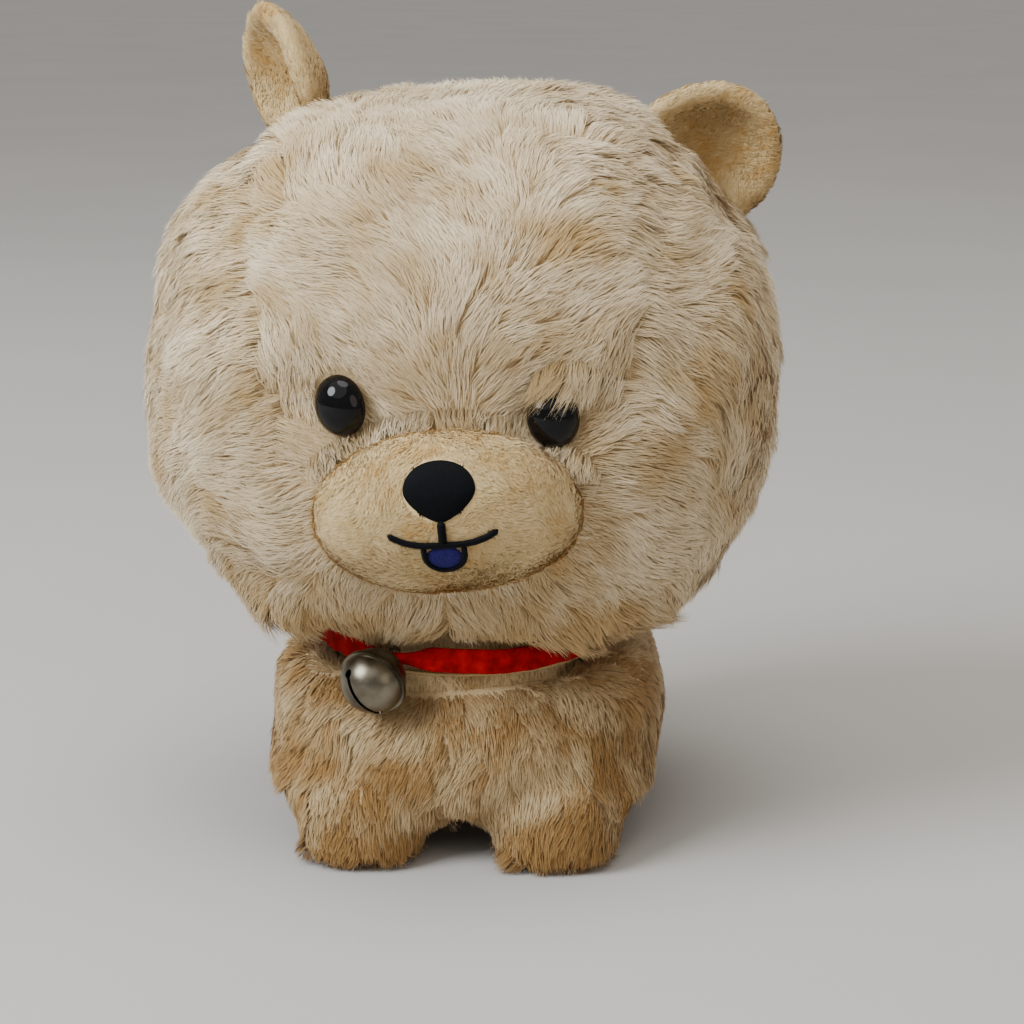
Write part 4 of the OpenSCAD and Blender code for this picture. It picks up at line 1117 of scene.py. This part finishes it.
stitchedPad("tongue", 70, 60, tongueOutline, "z", blueThread, ["tongue_embroidery"])
arc = np.radians(np.linspace(180, 360, 33))
rim = np.stack([tongue["half"] * 1.02 * np.cos(arc),
                tongueTop - tongue["long"] * 0.36 + tongue["long"] * 0.64 * np.sin(arc)], axis=1)
rim = np.concatenate([[[rim[0, 0], tongueTop]], rim, [[rim[-1, 0], tongueTop]]])
rimObj, u, v = gridSheet("tongue_outline", 120, 7)
stitchedLine(rimObj, u, v, rim, tongue["rim"], tongue["rim"])
mouthObj = joined([mouthObj, stemObj, rimObj])
finishPiece(smoothShaded(mouthObj), "head", blackThread, ["mouth_embroidery"])
print("muzzle ready")


eye = {
    "wide": 15.6 * mm, "high": 18 * mm, "dome": 6.6 * mm, "back": 1.6 * mm, "sunk": 0.2 * mm,
    "roll": math.radians(14),
}


def makeEye(side):
    tip, gaze = eyeTip[side]
    deselect()
    bpy.ops.mesh.primitive_uv_sphere_add(segments=64, ring_count=32, radius=1)
    obj = named("eye_dome_" + side)
    points = pointsOf(obj)
    along = points[:, 2]
    depth = along * np.where(along > 0, eye["dome"], eye["back"])
    x = points[:, 0] * eye["wide"] / 2
    z = points[:, 1] * eye["high"] / 2
    cos, sin = math.cos(eye["roll"]), math.sin(eye["roll"])
    x, z = x * cos - z * sin, x * sin + z * cos
    across = np.array([-gaze[1], gaze[0], 0])
    base = tip - gaze * (eye["dome"] + eye["sunk"])
    placed = base + x[:, None] * across + z[:, None] * np.array([0, 0, 1]) + depth[:, None] * gaze
    setPoints(obj, placed)
    outwards(obj)
    finishPiece(smoothShaded(obj), "head", blackEye, ["eye_" + side])


for side in ("left", "right"):
    makeEye(side)
    dress(nodes["eye_washer_" + side], washerPlastic)


ear = {"rim": 27 * mm, "open": math.radians(65), "sunk": 10 * mm, "thick": 6.4 * mm}
ear["bowl"] = ear["rim"] / math.sin(ear["open"])
ear["depth"] = ear["bowl"] * (1 - math.cos(ear["open"]))
earPlaces = {
    "left": {"sign": 1, "angle": 43, "twist": 12, "lean": 12, "high": 27.5 * mm},
    "right": {"sign": -1, "angle": 79, "twist": 62, "lean": 4, "high": 33.5 * mm},
}


def earMatrix(side):
    place = earPlaces[side]
    pivot = pivotOf("ear_" + side + "_fold")
    start = Matrix.Translation(Vector((abs(pivot[0]), pivot[1], pivot[2])))
    tilt = Matrix.Rotation(math.radians(90 - place["angle"]), 4, "Y")
    twist = Matrix.Rotation(math.radians(place["twist"]), 4, "Z")
    lean = Matrix.Rotation(math.radians(place["lean"]), 4, "X")
    return Matrix.Diagonal((place["sign"], 1, 1, 1)) @ start @ tilt @ twist @ lean


# the whole padded cup: part of a thick ball shell, cut off below its base and rounded at its rim
def makeEar(side):
    place = earPlaces[side]
    middle = Vector((0, ear["depth"] / 2 - ear["bowl"], place["high"] - ear["rim"]))
    deselect()
    bpy.ops.mesh.primitive_uv_sphere_add(segments=96, ring_count=72, radius=ear["bowl"] - ear["thick"] / 2,
                                         location=middle, rotation=(math.radians(90), 0, 0))
    obj = named("ear_skin_" + side)
    bpy.ops.object.transform_apply(location=True, rotation=True, scale=True)
    bpy.ops.object.mode_set(mode="EDIT")
    bpy.ops.mesh.select_all(action="SELECT")
    bpy.ops.mesh.bisect(plane_co=(0, -ear["depth"] / 2 + 2 * mm, 0), plane_no=(0, 1, 0), clear_inner=True)
    bpy.ops.mesh.select_all(action="SELECT")
    bpy.ops.mesh.bisect(plane_co=(0, 0, -ear["sunk"]), plane_no=(0, 0, 1), clear_inner=True)
    bpy.ops.object.mode_set(mode="OBJECT")
    points = pointsOf(obj)
    points += unit(points - np.array(middle)) * (0.9 * mm * softNoise(points, 26 * mm, 7))[:, None]
    setPoints(obj, points)
    thickened(obj, ear["thick"], offset=0)
    obj.data.transform(earMatrix(side))
    outwards(obj)
    remeshed(obj, 1.7 * mm)
    step = obj.modifiers.new("soften", "SMOOTH")
    step.factor, step.iterations = 0.5, 9
    applyAll(obj)
    return puffed(obj, 2.2 * mm, 0.8 * mm, ["ear_back_" + side, "ear_lining_" + side], dent=0)


earSpec = dict(shortSpec, density=8.0, length=2.4 * mm, lift=0.5)
for side in ("left", "right"):
    up = np.array(earMatrix(side).to_3x3() @ Vector((0, 0, 1)))
    names = ["ear_back_" + side, "ear_lining_" + side]
    skins = cutApart(makeEar(side), names, [name + "_skin" for name in names])
    for seed, (panel, skin) in enumerate(skins.items()):
        growPile(panel + "_pile", skin, "ear_" + side, shortPile, earSpec,
                 lambda root, out, up=up: np.tile(up, (len(root), 1)), seed=501 + seed + (side == "left") * 7)
        thickened(skin, 0.8 * mm)
        finishPiece(smoothShaded(skin), "ear_" + side, shortBacking, [panel])
print("eyes and ears ready")


fillings = {
    "body_stuffing": "body", "leg_stuffing_front_left": "body", "leg_stuffing_front_right": "body",
    "leg_stuffing_rear_left": "body", "leg_stuffing_rear_right": "body", "tail_stuffing": "tail",
    "head_stuffing": "head", "muzzle_stuffing": "head",
}
for name, body in fillings.items():
    obj = bpy.data.objects.new(name.replace("stuffing", "filling"), nodes[name].data.copy())
    bpy.context.scene.collection.objects.link(obj)
    outwards(obj)
    remeshed(obj, 4 * mm if name in ("head_stuffing", "body_stuffing") else 2 * mm)
    points, normals = pointsOf(obj), normalsOf(obj)
    setPoints(obj, points + normals * (0.5 * mm * softNoise(points, 9 * mm, 31) - 0.6 * mm)[:, None])
    finishPiece(smoothShaded(obj), body, fibre, [name])


collar = {"wide": 8 * mm, "thick": 1.1 * mm, "throat": 3.4 * mm}
ribbonLow, ribbonHigh = boxOf("collar_ribbon")
ribbonRadius = (ribbonHigh[0] - ribbonLow[0]) / 2 - 0.7 * mm
ribbonZ = (ribbonLow[2] + ribbonHigh[2]) / 2
bellPoint = pivotOf("bell_swing")


def makeRibbon():
    deselect()
    bpy.ops.mesh.primitive_cylinder_add(vertices=240, radius=ribbonRadius, depth=collar["wide"],
                                        end_fill_type="NOTHING", location=(0, neckAxis[1], ribbonZ))
    obj = named("ribbon")
    bpy.ops.object.transform_apply(location=True, rotation=True, scale=True)
    bpy.ops.object.mode_set(mode="EDIT")
    bpy.ops.mesh.select_all(action="SELECT")
    bpy.ops.mesh.subdivide(number_cuts=5)
    bpy.ops.object.mode_set(mode="OBJECT")
    points = pointsOf(obj)
    turns = np.arctan2(points[:, 1] - neckAxis[1], points[:, 0])
    bellTurn = math.atan2(bellPoint[1] - neckAxis[1], bellPoint[0])
    gap = np.abs((turns - bellTurn + math.pi) % (2 * math.pi) - math.pi)
    throat = collar["throat"] / collar["wide"]
    narrow = throat + (1 - throat) * ease(gap, 0.07, 0.30)      # gathered where the bell's loop holds it
    height = (points[:, 2] - ribbonZ) * narrow
    ripple = 0.35 * mm * np.sin(turns * 23) + 0.25 * mm * np.sin(turns * 41 + 1)
    crush = 0.5 * mm * np.cos(height / collar["wide"] * 14 + turns * 9) * (1 - ease(gap, 0.1, 0.5))
    radius = ribbonRadius + ripple * ease(gap, 0.1, 0.3) * 0.6 + crush * 0.6 + 0.25 * mm
    points[:, 0] = radius * np.cos(turns)
    points[:, 1] = neckAxis[1] + radius * np.sin(turns)
    points[:, 2] = ribbonZ + height + 0.35 * mm * np.sin(turns * 7 + 0.6)
    setPoints(obj, points)
    thickened(obj, collar["thick"], offset=0)
    return subdivided(obj)


finishPiece(smoothShaded(makeRibbon()), "collar", velvet, ["collar_ribbon"])
for name in ("bell_front_shell", "bell_back_shell", "bell_loop"):
    dress(nodes[name], antiqueNickel)
dress(nodes["clapper"], ballSteel)
dress(nodes["care_label"], labelSatin)
dress(nodes["neck_stitches"], sewingThread)
print("collar ready")
